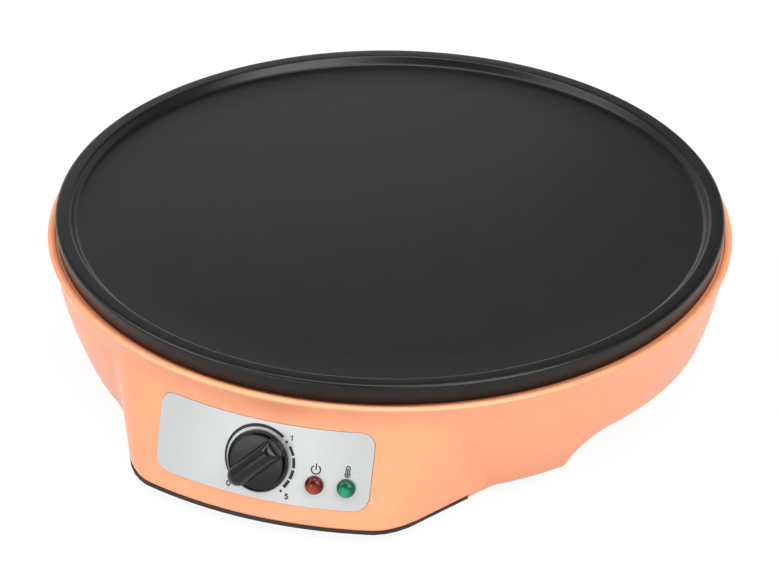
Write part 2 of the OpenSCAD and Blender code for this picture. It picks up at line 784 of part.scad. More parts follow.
module thermostat_spindle() {
    color("goldenrod") on_face(knob_x, knob_z) rotate([0, 0, off_angle]) difference() {
        union() {
            rod(spindle_d / 2, cam_z, spindle_front_z);
            rod(cam_r, cam_z, cam_z + cam_t);
            // Stop peg, which meets the lug in the case at each end of the turn.
            translate([cam_r - 1, -peg_half, cam_z]) cube([stop_r - cam_r + 1, 2 * peg_half, cam_t]);
        }
        translate([-spindle_d, spindle_d / 2 - 1, bush_front_z + 1]) cube([2 * spindle_d, 3, 20]);
    }
}

// Flanged bush that clamps the thermostat to the face.
module thermostat_bush() {
    color("silver") on_face(knob_x, knob_z) difference() {
        union() {
            translate([-case_size.x / 2, -case_size.y / 2, case_front_z])
                cube([case_size.x, case_size.y, bush_flange_t]);
            rod(bush_d / 2, case_front_z, bush_front_z);
        }
        rod(spindle_d / 2 + run_fit, case_front_z - 1, bush_front_z + 1);
    }
}

module thermostat_nut() {
    color("silver") on_face(knob_x, knob_z) difference() {
        hexagon(nut_af, nut_z, nut_z + nut_t);
        rod(bush_d / 2 + 0.02, nut_z - 1, nut_z + nut_t + 1);
    }
}

module thermostat_washer() {
    color("silver") on_face(knob_x, knob_z) difference() {
        rod(nut_af / 2, washer_z, nut_z);
        rod(bush_d / 2 + 0.1, washer_z - 1, nut_z + 1);
    }
}

// The stop lug fills the part of the circle that the peg never reaches.
lug_in_r = cam_r + 0.6;
lug_half = (360 - knob_turn) / 2 - asin((peg_half + 2 * fit) / lug_in_r);

module thermostat_case() {
    color("#4a3c30") on_face(knob_x, knob_z) union() {
        difference() {
            translate([-case_size.x / 2, -case_size.y / 2, case_front_z - case_size.z])
                cube(case_size);
            rod(stop_r + 1, case_front_z - cavity_h, case_front_z + 1);
        }
        rotate([0, 0, off_angle + (360 - knob_turn) / 2]) intersection() {
            difference() {
                rod(stop_r + 1.2, case_front_z - cavity_h, case_front_z - 0.5);
                rod(lug_in_r, case_front_z - cavity_h - 1, case_front_z);
            }
            translate([0, 0, case_front_z - cavity_h]) linear_extrude(cavity_h)
                polygon([[0, 0], for (a = [-lug_half, 0, lug_half]) 30 * [cos(a), sin(a)]]);
        }
    }
}

case_back_z = case_front_z - case_size.z;

module thermostat_capsule() {
    color("peru") on_face(knob_x, knob_z) {
        rod(9, case_back_z - 2.5, case_back_z);
        rod(2, case_back_z - 5, case_back_z - 2.5 + eps);
    }
}

tab_places = [[-11, -10], [11, -10], [11, 10]];

module thermostat_tabs() {
    color("silver") on_face(knob_x, knob_z) for (p = tab_places)
        translate([p.x - 0.4, p.y - 3.15, case_back_z - 8]) cube([0.8, 6.3, 8]);
}

// ---------- indicator lamps ----------

module lens(x, shade) {
    tube_r = lens_d / 2 - 0.6;
    color(shade) on_face(x, lamp_z) difference() {
        rotate_extrude() polygon(concat([[0, -lens_l], [tube_r, -lens_l], [tube_r, panel_proud + 0.05],
            [lens_d / 2, panel_proud + 0.05], [lens_d / 2, panel_proud + lens_flange]],
            [for (a = [0:10:90]) [lens_d / 2 * cos(a), panel_proud + lens_flange + 2.2 * sin(a)]]));
        rod(tube_r - lens_wall, -lens_l - 1, -1);
    }
}

module power_lens() {
    lens(lamp_x[0], "darkred");
}

module ready_lens() {
    lens(lamp_x[1], "seagreen");
}

module lamp(x) {
    color("mistyrose") on_face(x, lamp_z) union() {
        rod(lamp_d / 2, -lens_l + 1, -lens_l + lamp_l);
        for (s = [-1, 1]) translate([s * 1.2, 0, 0]) rod(0.4, -lens_l - 3, -lens_l + 1 + eps);
    }
}

module power_lamp() {
    lamp(lamp_x[0]);
}

module ready_lamp() {
    lamp(lamp_x[1]);
}

// Push-on rings that hold the lenses behind the wall.
module lens_clips() {
    color("silver") for (x = lamp_x) on_face(x, lamp_z) difference() {
        rod(lens_d / 2 + 1.6, -wall - 1.6, -wall - 0.8);
        rod(lens_d / 2 - 0.6 + 0.02, -wall - 3, -wall);
    }
}

// ---------- wiring ----------

module terminal_block() {
    color("ivory") on_axis() translate([block_at.x, block_at.y, block_z]) difference() {
        translate([-block_size.x / 2, -block_size.y / 2, 0]) cube(block_size);
        for (i = [-1:1]) translate([i * block_pitch, 0, 0]) {
            translate([0, 0, 6]) rotate([90, 0, 0]) rod(2, -block_size.y, block_size.y);
            for (s = [-1, 1]) translate([0, s * 5, 0]) rod(1.5, 6, block_size.z + 1);
        }
        for (i = [-0.5, 0.5]) translate([i * block_pitch, 0, 0]) rod(1.6, -1, block_size.z + 1);
    }
}

module terminal_screws() {
    color("silver") on_axis() translate([block_at.x, block_at.y, block_z])
        for (i = [-1:1], s = [-1, 1]) translate([i * block_pitch, s * 5, 0]) difference() {
            rod(1.5 - run_fit, 7.2, block_size.z - 1);
            translate([-1.2, -0.25, block_size.z - 2]) cube([2.4, 0.5, 2]);
        }
}

module terminal_block_screws() {
    color("silver") on_axis() translate([block_at.x, block_at.y, block_z])
        for (i = [-0.5, 0.5]) translate([i * block_pitch, 0, -cover_t])
            screw(3, block_size.z + cover_t - 3, 5.6, 2);
}

wire_d = 2.2;
lamp_wire_d = 1.2;
capillary_d = 1.6;
tab_foot_z = pin_foot_z - 12;
block_hole_z = block_z + 6;
lead_z = under_z - fuse_d / 2 - 0.3;
lamp_foot = -lens_l - 3;

// Ways between terminals. The ends follow the pieces that they meet; the points between are free.
live_way = concat(
    [[-block_pitch, block_at.y - 4, block_hole_z], [-block_pitch, block_at.y - 14, block_hole_z],
        [-6, 10, 12], [-8, -60, 12], [-11, -108, 13]],
    from_face(knob_x, knob_z, [[-11, -10, case_back_z - 16], [-11, -10, case_back_z - 11],
        [-11, -10, case_back_z - 8]]));

switched_way = concat(
    from_face(knob_x, knob_z, [[11, -10, case_back_z - 8], [11, -10, case_back_z - 12]]),
    [[18, -114, 11], [pin_at.x - 2, pin_at.y - 5, tab_foot_z - 8],
        [pin_at.x, pin_at.y, tab_foot_z - 3], [pin_at.x, pin_at.y, tab_foot_z]]);

neutral_way = [[0, block_at.y - 4, block_hole_z], [0, block_at.y - 13, block_hole_z], [10, 42, 16],
    [22, 43, 26], [24, fuse_at.y, 38], [24, fuse_at.y, lead_z - 6], [fuse_end + 4, fuse_at.y, lead_z - 0.6],
    [fuse_end, fuse_at.y, lead_z]];

fuse_way = [[-fuse_end, fuse_at.y, lead_z], [-fuse_end - 4, fuse_at.y, lead_z - 0.6],
    [-24, fuse_at.y, lead_z - 6], [-24, fuse_at.y, 38], [-25, 36, 26], [-30, -10, 16], [-31, -70, 12],
    [-pin_at.x, pin_at.y + 2, tab_foot_z - 7], [-pin_at.x, pin_at.y, tab_foot_z - 3],
    [-pin_at.x, pin_at.y, tab_foot_z]];

earth_way = [[block_pitch, block_at.y - 4, block_hole_z], [block_pitch, block_at.y - 10, block_hole_z],
    [block_pitch + 1, block_at.y - 16, block_hole_z], [34, 34, 15], [62, 30, 22],
    [earth_at.x + 18, earth_at.y, 36], [earth_at.x + 18, earth_at.y, under_z - 12],
    [earth_at.x + 15, earth_at.y, under_z - 6.4], [earth_at.x + 12, earth_at.y, under_z - 6.4]];

power_way_live = concat(
    from_face(lamp_x[0], lamp_z, [[-1.2, 0, lamp_foot], [-1.2, 0, lamp_foot - 5]]),
    from_face(knob_x, knob_z, [[20, 1, case_back_z - 14], [13, 9, case_back_z - 20],
        [11, 10, case_back_z - 13], [11, 10, case_back_z - 8]]));

power_way_neutral = concat(
    from_face(lamp_x[0], lamp_z, [[1.2, 0, lamp_foot], [1.2, 0, lamp_foot - 5]]),
    [[14, -112, 22], [-12, -100, 17], [2.3 - pin_at.x, pin_at.y - 3, tab_foot_z - 6],
        [2.3 - pin_at.x, pin_at.y, tab_foot_z - 3], [2.3 - pin_at.x, pin_at.y, tab_foot_z]]);

ready_way_live = concat(
    from_face(lamp_x[1], lamp_z, [[-1.2, 0, lamp_foot], [-1.2, 0, lamp_foot - 5]]),
    [[36, -112, 15], [pin_at.x + 4, pin_at.y - 3, tab_foot_z - 6],
        [pin_at.x + 2.3, pin_at.y, tab_foot_z - 3], [pin_at.x + 2.3, pin_at.y, tab_foot_z]]);

ready_way_neutral = concat(
    from_face(lamp_x[1], lamp_z, [[1.2, 0, lamp_foot], [1.2, 0, lamp_foot - 5]]),
    [[24, -104, 29], [-10, -86, 28], [-26, -80, 18], [-2.3 - pin_at.x, pin_at.y + 3, tab_foot_z - 7],
        [-2.3 - pin_at.x, pin_at.y, tab_foot_z - 3], [-2.3 - pin_at.x, pin_at.y, tab_foot_z]]);

capillary_way = concat(from_face(knob_x, knob_z, [[0, 0, case_back_z - 5], [0, 0, case_back_z - 9]]),
    [[-14, -118, 24], [-38, -92, 27], [bulb_at.x - 47, -62, 28], [bulb_at.x - 48, bulb_at.y, 36],
        [bulb_at.x - 48, bulb_at.y, bulb_z - 8], [bulb_at.x - 43, bulb_at.y, bulb_z - 1],
        [bulb_at.x - bulb_l / 2 - 5, bulb_at.y, bulb_z], [bulb_at.x - bulb_l / 2, bulb_at.y, bulb_z]]);

module live_wire() {
    color("saddlebrown") on_axis() wire(way(live_way, 3), wire_d, [1, 0, 0.1]);
}

module switched_wire() {
    color("black") on_axis() wire(way(switched_way, 3), wire_d, [0.3, 1, 0]);
}

module neutral_wire() {
    color("royalblue") on_axis() wire(way(neutral_way, 3), wire_d, [0.3, 1, 0.2]);
}

module fuse_wire() {
    color("royalblue") on_axis() wire(way(fuse_way, 3), wire_d, [1, 0.3, 0]);
}

module earth_wire() {
    color("yellowgreen") on_axis() wire(way(earth_way, 3), wire_d, [0.2, 1, 0]);
}

module power_lamp_wires() {
    color("dimgray") on_axis() {
        wire(way(power_way_live, 3), lamp_wire_d, [0.3, 0, 1]);
        wire(way(power_way_neutral, 3), lamp_wire_d, [0, 1, 0.6]);
    }
}

module ready_lamp_wires() {
    color("dimgray") on_axis() {
        wire(way(ready_way_live, 3), lamp_wire_d, [1, 0, 0.2]);
        wire(way(ready_way_neutral, 3), lamp_wire_d, [0.3, 1, 0.6]);
    }
}

module capillary_tube() {
    color("peru") on_axis() wire(way(capillary_way, 3), capillary_d, [0.3, 1, 0]);
}

// ---------- cord gland ----------

module cord_gland() {
    color("#202020") translate([0, gland_pad_y, gland_z]) rotate([-90, 0, 0]) difference() {
        union() {
            rotate_extrude() polygon([[0, 0], [gland_flange_d / 2, 0],
                [gland_flange_d / 2, gland_flange_t - 1], [gland_flange_d / 2 - 1, gland_flange_t],
                [0, gland_flange_t]]);
            rod(gland_d / 2, 1 - gland_l, 1);
        }
        rod(gland_bore / 2, -gland_l, gland_flange_t + 1);
    }
}

module gland_nut() {
    color("#202020") translate([0, gland_pad_y - gland_pad_l, gland_z]) rotate([-90, 0, 0]) difference() {
        hexagon(18, -gland_nut_t, 0);
        rod(gland_d / 2 + 0.02, -gland_nut_t - 1, 1);
    }
}

// ---------- base ----------

module base_cover() {
    slot_l = 34;
    slot_w = 3;
    color("#1c1c1c") difference() {
        union() {
            difference() {
                union() {
                    on_axis() rod(cover_r, foot_z, cover_z);
                    console(wall + fit, foot_z, cover_z);
                }
                hand_recess(wall + fit);
            }
            intersection() {
                console(0, foot_z, cover_z);
                tongue_sector(foot_z, cover_z);
            }
        }
        on_axis() {
            post_places() rod(cover_screw_d / 2 + fit, foot_z - 1, cover_z + 1);
            for (x = [-1, 1], y = [-1, 1]) translate([x * foot_at.x, y * foot_at.y, 0])
                rod(3, foot_z - 1, cover_z + 1);
            for (i = [-0.5, 0.5]) translate([block_at.x + i * block_pitch, block_at.y, 0])
                rod(1.6, foot_z - 1, cover_z + 1);
            for (x = [-1, 1], i = [-3:3]) translate([x * 48, i * 10 - 10, 0])
                translate([-slot_l / 2, -slot_w / 2, foot_z - 1]) cube([slot_l, slot_w, cover_t + 2]);
        }
    }
}

module cover_screws() {
    color("silver") on_axis() post_places() translate([0, 0, foot_z]) screw(cover_screw_d, 11, 7, 2.4);
}

// Rubber foot with a stem and a bead that snaps through the cover.
module foot(x, y) {
    color("#151515") on_axis() translate([x * foot_at.x, y * foot_at.y, 0]) rotate_extrude() polygon([
        [0, 0], [foot_d / 2 - 2, 0], [foot_d / 2 - 1, 1], [foot_d / 2, foot_z], [2.9, foot_z],
        [2.9, cover_z], [4, cover_z], [2.6, cover_z + 3], [0, cover_z + 3]]);
}

cooking_plate();
plate_screws();
plate_washers();
heating_element();
element_insulators();
element_tabs();
element_straps();
strap_screws();
heat_shield();
earth_tag();
earth_screw();
sensor_bulb();
bulb_clip();
bulb_clip_screws();
capillary_tube();
thermal_fuse();
fuse_clip();
fuse_clip_screw();
housing();
control_panel();
knob();
knob_spring();
thermostat_spindle();
thermostat_bush();
thermostat_nut();
thermostat_washer();
thermostat_case();
thermostat_capsule();
thermostat_tabs();
power_lens();
ready_lens();
power_lamp();
ready_lamp();
lens_clips();
terminal_block();
terminal_screws();
terminal_block_screws();
live_wire();
switched_wire();
neutral_wire();
fuse_wire();
earth_wire();
power_lamp_wires();
ready_lamp_wires();
cord_gland();
gland_nut();
base_cover();
cover_screws();
foot(-1, -1);  // foot_1
foot(1, -1);  // foot_2
foot(1, 1);  // foot_3
foot(-1, 1);  // foot_4
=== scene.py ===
# %% [markdown]
# # An electric crepe maker
#
# A round non-stick plate lies in a moulded bowl of peach-orange plastic. A console leans out of the
# bowl at the front and carries a grey panel with a bar knob and two lamps. This notebook builds what
# the eye sees around the part's exact frame, one piece at a time. All sizes are worked out in
# millimetres and turned to metres at the end of each piece.

# %% Load the frame
import json
import math

import bmesh
import bpy
import numpy as np
from mathutils import Matrix, Vector


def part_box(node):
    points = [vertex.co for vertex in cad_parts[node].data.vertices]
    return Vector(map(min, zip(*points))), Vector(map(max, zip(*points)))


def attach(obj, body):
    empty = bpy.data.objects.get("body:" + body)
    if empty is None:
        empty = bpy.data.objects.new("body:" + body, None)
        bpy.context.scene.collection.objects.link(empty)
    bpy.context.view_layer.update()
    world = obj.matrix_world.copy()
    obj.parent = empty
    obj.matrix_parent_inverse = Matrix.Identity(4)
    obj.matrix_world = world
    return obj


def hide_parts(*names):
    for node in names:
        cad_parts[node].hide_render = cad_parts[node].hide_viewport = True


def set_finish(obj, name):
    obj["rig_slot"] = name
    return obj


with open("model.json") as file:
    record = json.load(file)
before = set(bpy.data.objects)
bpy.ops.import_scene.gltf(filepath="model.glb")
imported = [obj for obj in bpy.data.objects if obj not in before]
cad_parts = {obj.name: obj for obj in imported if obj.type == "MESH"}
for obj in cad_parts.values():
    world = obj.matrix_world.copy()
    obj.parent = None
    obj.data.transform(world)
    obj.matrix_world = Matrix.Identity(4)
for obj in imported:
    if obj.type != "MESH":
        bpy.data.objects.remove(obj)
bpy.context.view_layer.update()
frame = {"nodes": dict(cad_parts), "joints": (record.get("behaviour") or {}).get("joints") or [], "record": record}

MM = 0.001


# %% [markdown]
# ## Sizes
#
# The plate and the housing are turned round one upright axis, so most places are given by a radius
# and a height. Those come straight from the frame. What the frame doesn't say in one number, such as
# the lean of the console, is named here and has the value that the solid has.

# %% Sizes from the frame
plate_low, plate_high = (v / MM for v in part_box("cooking_plate"))
house_low, house_high = (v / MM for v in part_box("housing"))
cover_low, cover_high = (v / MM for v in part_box("base_cover"))
AXIS_Y = (plate_low.y + plate_high.y) / 2
PLATE_R = (plate_high.x - plate_low.x) / 2
RIM_Z = plate_high.z
LIP_R = (house_high.x - house_low.x) / 2
LIP_TOP_Z = house_high.z
FOOT_Z = cover_low.z
COVER_Z = cover_high.z
print(f"axis {AXIS_Y:.2f}, plate radius {PLATE_R:.1f}, lip radius {LIP_R:.1f}, rim {RIM_Z:.1f} mm")

# %% Sizes of the moulding
WALL = 2.4
LIP_RISE = 1.5
LEDGE_Z = LIP_TOP_Z - LIP_RISE
LIP_H = 9.5
LIP_Z = LEDGE_Z - LIP_H
LIP_OUT = 3.9
WALL_R = LIP_R - LIP_OUT
LEAN = math.radians(16.5)
FACE_FOOT_R = 180.5
FACE_BACK = 10.0
FACE_FOOT_HALF = 61.9
FACE_TOP_HALF = 78.7
SIDE_SPLAY = math.radians(28)
HAND_W = 166
HAND_H = 25
HAND_IN = 106
HAND_OUT = 190
HAND_ROUND = 14
TONGUE = math.radians(34.5)


# %% [markdown]
# ## Helpers
#
# Every piece below is a mesh made from rows of points. One helper turns a grid of points into a mesh,
# one turns a half section round an axis, and one cuts or joins two closed meshes. The shading is
# smooth, and edges sharper than a chosen angle stay crisp.

# %% Mesh helpers
SAME_POINT = 1e-7


def to_mesh(name, points, faces, crisp=35):
    """A mesh object from points in millimetres, with smooth faces and crisp sharp edges."""
    mesh = bpy.data.meshes.new(name)
    mesh.from_pydata([tuple(c * MM for c in p) for p in points], [], faces)
    work = bmesh.new()
    work.from_mesh(mesh)
    bmesh.ops.remove_doubles(work, verts=work.verts, dist=SAME_POINT)
    bmesh.ops.recalc_face_normals(work, faces=work.faces)
    work.to_mesh(mesh)
    work.free()
    obj = bpy.data.objects.new(name, mesh)
    bpy.context.scene.collection.objects.link(obj)
    return smooth(obj, crisp)


def smooth(obj, crisp=35):
    obj.data.polygons.foreach_set("use_smooth", [True] * len(obj.data.polygons))
    obj.data.set_sharp_from_angle(angle=math.radians(crisp))
    return obj


def grid_faces(rows, cols, around=True):
    """Quads between rows of points; around closes each row on itself."""
    faces = []
    for low in range(0, (rows - 1) * cols, cols):
        high = low + cols
        for c in range(cols if around else cols - 1):
            after = (c + 1) % cols
            faces.append((low + c, low + after, high + after, high + c))
    return faces


def end_caps(layers, count):
    """One face at each end of a stack of closed layers."""
    top = (layers - 1) * count
    return [tuple(range(count))[::-1], tuple(range(top, top + count))]


def lathe(name, section, steps=256):
    """Turns a half section of (radius, height) points about the Z axis."""
    turn = np.linspace(0, 2 * math.pi, steps, endpoint=False)
    points = [(r * math.cos(a), r * math.sin(a), z) for r, z in section for a in turn]
    faces = grid_faces(len(section), steps)
    return to_mesh(name, points, faces)


def arc(cx, cy, radius, start, end, steps=6):
    """Points on a circle's arc, with its angles in degrees."""
    angles = np.radians(np.linspace(start, end, steps + 1))
    return [(cx + radius * math.cos(a), cy + radius * math.sin(a)) for a in angles]


def carve(obj, tool, how="DIFFERENCE"):
    """Cuts, joins or crosses obj with a closed tool, which is used up."""
    step = obj.modifiers.new("carve", "BOOLEAN")
    step.object, step.operation, step.solver = tool, how, "MANIFOLD"
    graph = bpy.context.evaluated_depsgraph_get()
    result = bpy.data.meshes.new_from_object(obj.evaluated_get(graph))
    obj.modifiers.clear()
    obj.data = result
    bpy.data.objects.remove(tool)


def place(obj, matrix):
    """Moves the mesh itself, so that the object's own origin stays at the frame's."""
    obj.data.transform(matrix)
    return obj


ON_AXIS = Matrix.Translation((0, AXIS_Y * MM, 0))


# %% [markdown]
# ## Camera
#
# The maker is seen from the front and a little from its right, looking down on the plate. The camera
# stands almost two metres off with a long lens, which keeps the plate's two rims nearly parallel. It
# is placed on a sphere round the middle of the rim, and then turned by a degree, because the object
# doesn't stand in the middle of the frame.

# %% Camera
IMAGE_W = 780
FOCAL_PX = 4218
SENSOR_MM = 36
VIEW_TURN, VIEW_RISE = math.radians(20.42), math.radians(30.149)
VIEW_FAR = 1955.65
PAN, TILT, ROLL = math.radians(0.008), math.radians(1.175), math.radians(0.5207)


def look(turn, pitch, roll):
    """Rotation of a camera that looks along +Y turned by turn, down by pitch, rolled by roll."""
    upright = Matrix.Rotation(math.pi / 2 - pitch, 4, "X")
    return Matrix.Rotation(turn, 4, "Z") @ upright @ Matrix.Rotation(roll, 4, "Z")


def way_to(turn, rise):
    """Unit vector from the object towards a place at this turn from the front and this rise."""
    level = math.cos(rise)
    return Vector((math.sin(turn) * level, -math.cos(turn) * level, math.sin(rise)))


camera_data = bpy.data.cameras.new("camera")
camera_data.sensor_width = SENSOR_MM
camera_data.lens = FOCAL_PX * SENSOR_MM / IMAGE_W
camera_data.clip_start, camera_data.clip_end = 0.01, 50
camera = bpy.data.objects.new("camera", camera_data)
bpy.context.scene.collection.objects.link(camera)
camera_at = Vector((0, AXIS_Y, RIM_Z)) + way_to(VIEW_TURN, VIEW_RISE) * VIEW_FAR
aim = look(VIEW_TURN - PAN, VIEW_RISE + TILT, ROLL)
camera.matrix_world = Matrix.Translation(camera_at * MM) @ aim
bpy.context.scene.camera = camera
print("lens", round(camera_data.lens, 1), "mm")


# %% [markdown]
# ## The housing
#
# On the real maker this is one injection moulding: a bowl with a conical lip band, and a console that
# grows out of it. It could be drawn as a subdivision cage, but its outside is seen from one axis as a
# single radius for each direction and height. So the radius is worked out for a fine grid: the
# larger of the bowl and the console, where the console is the smaller of a leaning cone (its face)
# and two leaning planes (its sides). Blending the larger and the smaller over a few millimetres gives
# the soft corners that a mould has.

# %% Radius of the outside
BOWL_DROP = 12.3
BOWL_BOW = 1.455
BOWL_REF = 41.4
FOOT_ROUND = 3.4
CONSOLE_FOOT_ROUND = 0.8
CORNER_BLEND = 10.0
CREASE_BLEND = 3.0
LIP_BLEND = 0.7
LIP_FLARE = 0.353
LIP_STEP = 0.2
LIP_SLOPE_LOW = 0.3
SIDE_MIN = 0.2
NO_SIDE_R = 400
CONSOLE_HALF_TURN = math.radians(60)


def soft_min(a, b, width):
    """The smaller of two values, rounded off where they are within width of each other."""
    h = np.clip(width - np.abs(a - b), 0, None) / width
    return np.minimum(a, b) - h * h * width / 4


def soft_max(a, b, width):
    return -soft_min(-a, -b, width)


def face_r(z):
    """Radius of the console's conical face about its own axis."""
    return FACE_FOOT_R - (z - FOOT_Z) * math.tan(LEAN)


def face_point(x, z):
    return Vector((x, FACE_BACK - math.sqrt(face_r(z) ** 2 - x * x), z))


side_foot = face_point(FACE_FOOT_HALF, FOOT_Z)
side_top = face_point(FACE_TOP_HALF, LIP_Z)
side_level = Vector((math.sin(SIDE_SPLAY), math.cos(SIDE_SPLAY), 0))
SIDE_OUT = side_level.cross(side_top - side_foot).normalized()


def bowl_r(z):
    """Radius of the bowl: a bowed wall, the lip's cone over it and a rounded foot."""
    below = np.clip(LIP_Z - 1 - z, 0, None)
    bowed = WALL_R - BOWL_DROP * (below / BOWL_REF) ** BOWL_BOW
    lip = WALL_R + LIP_STEP + (z - LIP_Z + LIP_SLOPE_LOW) * LIP_FLARE
    return soft_max(bowed, lip, LIP_BLEND)


def rounded_foot(z, level, radius):
    """How far a rounded bottom edge draws the wall in."""
    depth = np.clip(radius - (z - level), 0, radius)
    return radius - np.sqrt(radius * radius - depth * depth)


def outside_r(turn, z):
    """Radius of the housing; turn is 0 at the front and grows both ways."""
    turn = np.abs(turn)
    face = np.sqrt(face_r(z) ** 2 - (FACE_BACK * np.sin(turn)) ** 2) - FACE_BACK * np.cos(turn)
    toward = SIDE_OUT.x * np.sin(turn) - SIDE_OUT.y * np.cos(turn)
    side = (SIDE_OUT.dot(side_foot) - SIDE_OUT.z * z) / np.maximum(toward, SIDE_MIN)
    side = np.where(toward > SIDE_MIN, side, NO_SIDE_R)
    console = soft_min(face, side, CORNER_BLEND) - rounded_foot(z, COVER_Z, CONSOLE_FOOT_ROUND)
    console = np.where(turn < CONSOLE_HALF_TURN, console, 0)
    bowl = bowl_r(z) - rounded_foot(z, FOOT_Z, FOOT_ROUND)
    return soft_max(bowl, console, CREASE_BLEND)


# %% Shell of the housing
def spread(parts):
    """Turns in radians over a half, from the front to the back: (end in degrees, step in degrees)."""
    marks, start = [], 0.0
    for end, step in parts:
        marks += list(np.arange(start, end - step / 2, step))
        start = end
    half = np.radians(marks + [180.0])
    return np.concatenate([half, -half[-2:0:-1]])


LIP_EDGE = 0.8
LIP_TOP_FALL = 0.3
ROW_STEP = 0.9
turns = spread([(16, 1), (46, 0.35), (180, 1)])
edge_z = LIP_TOP_Z - LIP_EDGE - LIP_TOP_FALL


def ring(radii, heights):
    """One row of points round the axis; radii may differ from point to point."""
    radii, heights = np.broadcast_to(radii, turns.shape), np.broadcast_to(heights, turns.shape)
    return np.stack([radii * np.sin(turns), -radii * np.cos(turns), heights], 1)


def solid_of_rings(name, rings):
    """A closed solid from rings, with a flat cap at each end."""
    count = len(turns)
    faces = grid_faces(len(rings), count) + end_caps(len(rings), count)
    return place(to_mesh(name, np.concatenate(rings), faces), ON_AXIS)


foot_z = FOOT_Z + FOOT_ROUND * (1 - np.cos(np.radians(np.arange(0, 90, 10))))
wall_z = np.arange(FOOT_Z + FOOT_ROUND, edge_z, ROW_STEP)
outer = [ring(outside_r(turns, z), z) for z in (*foot_z, *wall_z, edge_z)]
lip_in = outside_r(turns, edge_z) - LIP_EDGE
for a in np.radians(np.arange(15, 91, 15)):
    outer.append(ring(lip_in + LIP_EDGE * math.cos(a), edge_z + LIP_EDGE * math.sin(a)))
# From the lip's crest inwards, as (radius, height over the ledge).
LIP_INSIDE = ((157.4, 1.5), (156.4, 1.42), (155.5, 1.1), (155.3, 0.6), (155.2, 0), (154.0, 0))
for radius, rise in LIP_INSIDE:
    outer.append(ring(radius, LEDGE_Z + rise))
housing = solid_of_rings("housing_shell", outer)

THROUGH = 2
HOLLOW_STEP = 2.5
HOLLOW_TOP_Z = LEDGE_Z - WALL - 0.2
HOLLOW_LAST_GAP = 0.9
HOLLOW_FOOT_Z = FOOT_Z + 3
HOLLOW_IN = WALL + 0.1
inner_z = [*np.arange(FOOT_Z - THROUGH, HOLLOW_TOP_Z - HOLLOW_LAST_GAP, HOLLOW_STEP), HOLLOW_TOP_Z]
inner = [ring(outside_r(turns, max(z, HOLLOW_FOOT_Z)) - HOLLOW_IN, z) for z in inner_z]
hollow = solid_of_rings("hollow", inner)
print("housing rows", len(outer), "columns", len(turns))


# %% [markdown]
# Now the cuts. Each side has a recess for a hand, the top is open under the plate, a thin black cover
# shows under the console, and the panel lies in a pocket. A closed cutter for each is taken away
# from the shell, as a slide or a core in the mould would leave it.

# %% Cutters
HAND_LOW = -5
THROAT_R, THROAT_BELOW, THROAT_ABOVE = 150, 6, 4


def prism(name, outline, low, high):
    """A closed solid from an outline of (x, y) points, between two heights."""
    points = [(x, y, z) for z in (low, high) for x, y in outline]
    return to_mesh(name, points, grid_faces(2, len(outline)) + end_caps(2, len(outline)))


def rod_tool(name, radius, low, high, steps=48):
    """A plain cylinder round the Z axis, between two heights."""
    return lathe(name, [(0, low), (radius, low), (radius, high), (0, high)], steps)


def hand_recess(name, side, grow):
    """Space for a hand under one side, drawn as (y, z) and pushed out along x."""
    half, radius = HAND_W / 2 + grow, HAND_ROUND + grow
    middle, top = HAND_W / 2 - HAND_ROUND, HAND_H - HAND_ROUND
    outline = [(-half, HAND_LOW), (half, HAND_LOW)]
    outline += arc(middle, top, radius, 0, 90, 14) + arc(-middle, top, radius, 90, 180, 14)
    obj = prism(name, outline, HAND_IN - grow, HAND_OUT)
    sideways = Matrix(((0, 0, side, 0), (1, 0, 0, 0), (0, 1, 0, 0), (0, 0, 0, 1)))
    place(obj, ON_AXIS @ sideways)
    if side < 0:
        obj.data.flip_normals()
    return obj


for side in (1, -1):
    carve(housing, hand_recess("hand", side, 0))
    carve(hollow, hand_recess("hand_wall", side, WALL))

throat = rod_tool("throat", THROAT_R, LEDGE_Z - THROAT_BELOW, LEDGE_Z + THROAT_ABOVE, 256)
carve(hollow, place(throat, ON_AXIS), "UNION")
carve(housing, hollow)
TONGUE_FAR = 300
tongue_x, tongue_y = TONGUE_FAR * math.sin(TONGUE), -TONGUE_FAR * math.cos(TONGUE)
tongue_outline = [(0, 0), (-tongue_x, tongue_y), (tongue_x, tongue_y)]
tongue = prism("tongue", tongue_outline, FOOT_Z - THROUGH, COVER_Z)
carve(housing, place(tongue, ON_AXIS))
print("housing faces", len(housing.data.polygons))

# %% [markdown]
# What sits on the console's face is placed by a small frame of its own: sideways, up the slope, and
# straight out of the face. A flat drawing is bent onto the cone by the same rule, so prints, pocket
# and panel follow the curve.

# %% Places on the console's face
KNOB_AT = Vector(frame["joints"][0]["pos_m"]) / MM
KNOB_LOW = 0.4
FACE_Y = AXIS_Y + FACE_BACK
PANEL_Z = KNOB_AT.z + KNOB_LOW


def face_frame(x, z):
    """Matrix of a frame on the face: X sideways, Y up the slope, Z straight out. In metres."""
    s = math.asin(x / face_r(z))
    side = Vector((math.cos(s), math.sin(s), 0))
    out = Vector((math.sin(s) * math.cos(LEAN), -math.cos(s) * math.cos(LEAN), math.sin(LEAN)))
    up = out.cross(side)
    matrix = Matrix((side, up, out)).transposed().to_4x4()
    matrix.translation = Vector((face_r(z) * math.sin(s), FACE_Y - face_r(z) * math.cos(s), z)) * MM
    return matrix


def onto_face(a, b, out):
    """The point a sideways and b up the slope from the panel's middle, and out of the face. In mm."""
    z = PANEL_Z + b * math.cos(LEAN)
    r = face_r(z)
    s = math.asin(a / r)
    r += out * math.cos(LEAN)
    return (r * math.sin(s), FACE_Y - r * math.cos(s), z + out * math.sin(LEAN))


knob_frame = face_frame(KNOB_AT.x, KNOB_AT.z)
print("knob stands at", [round(v / MM, 1) for v in knob_frame.translation])

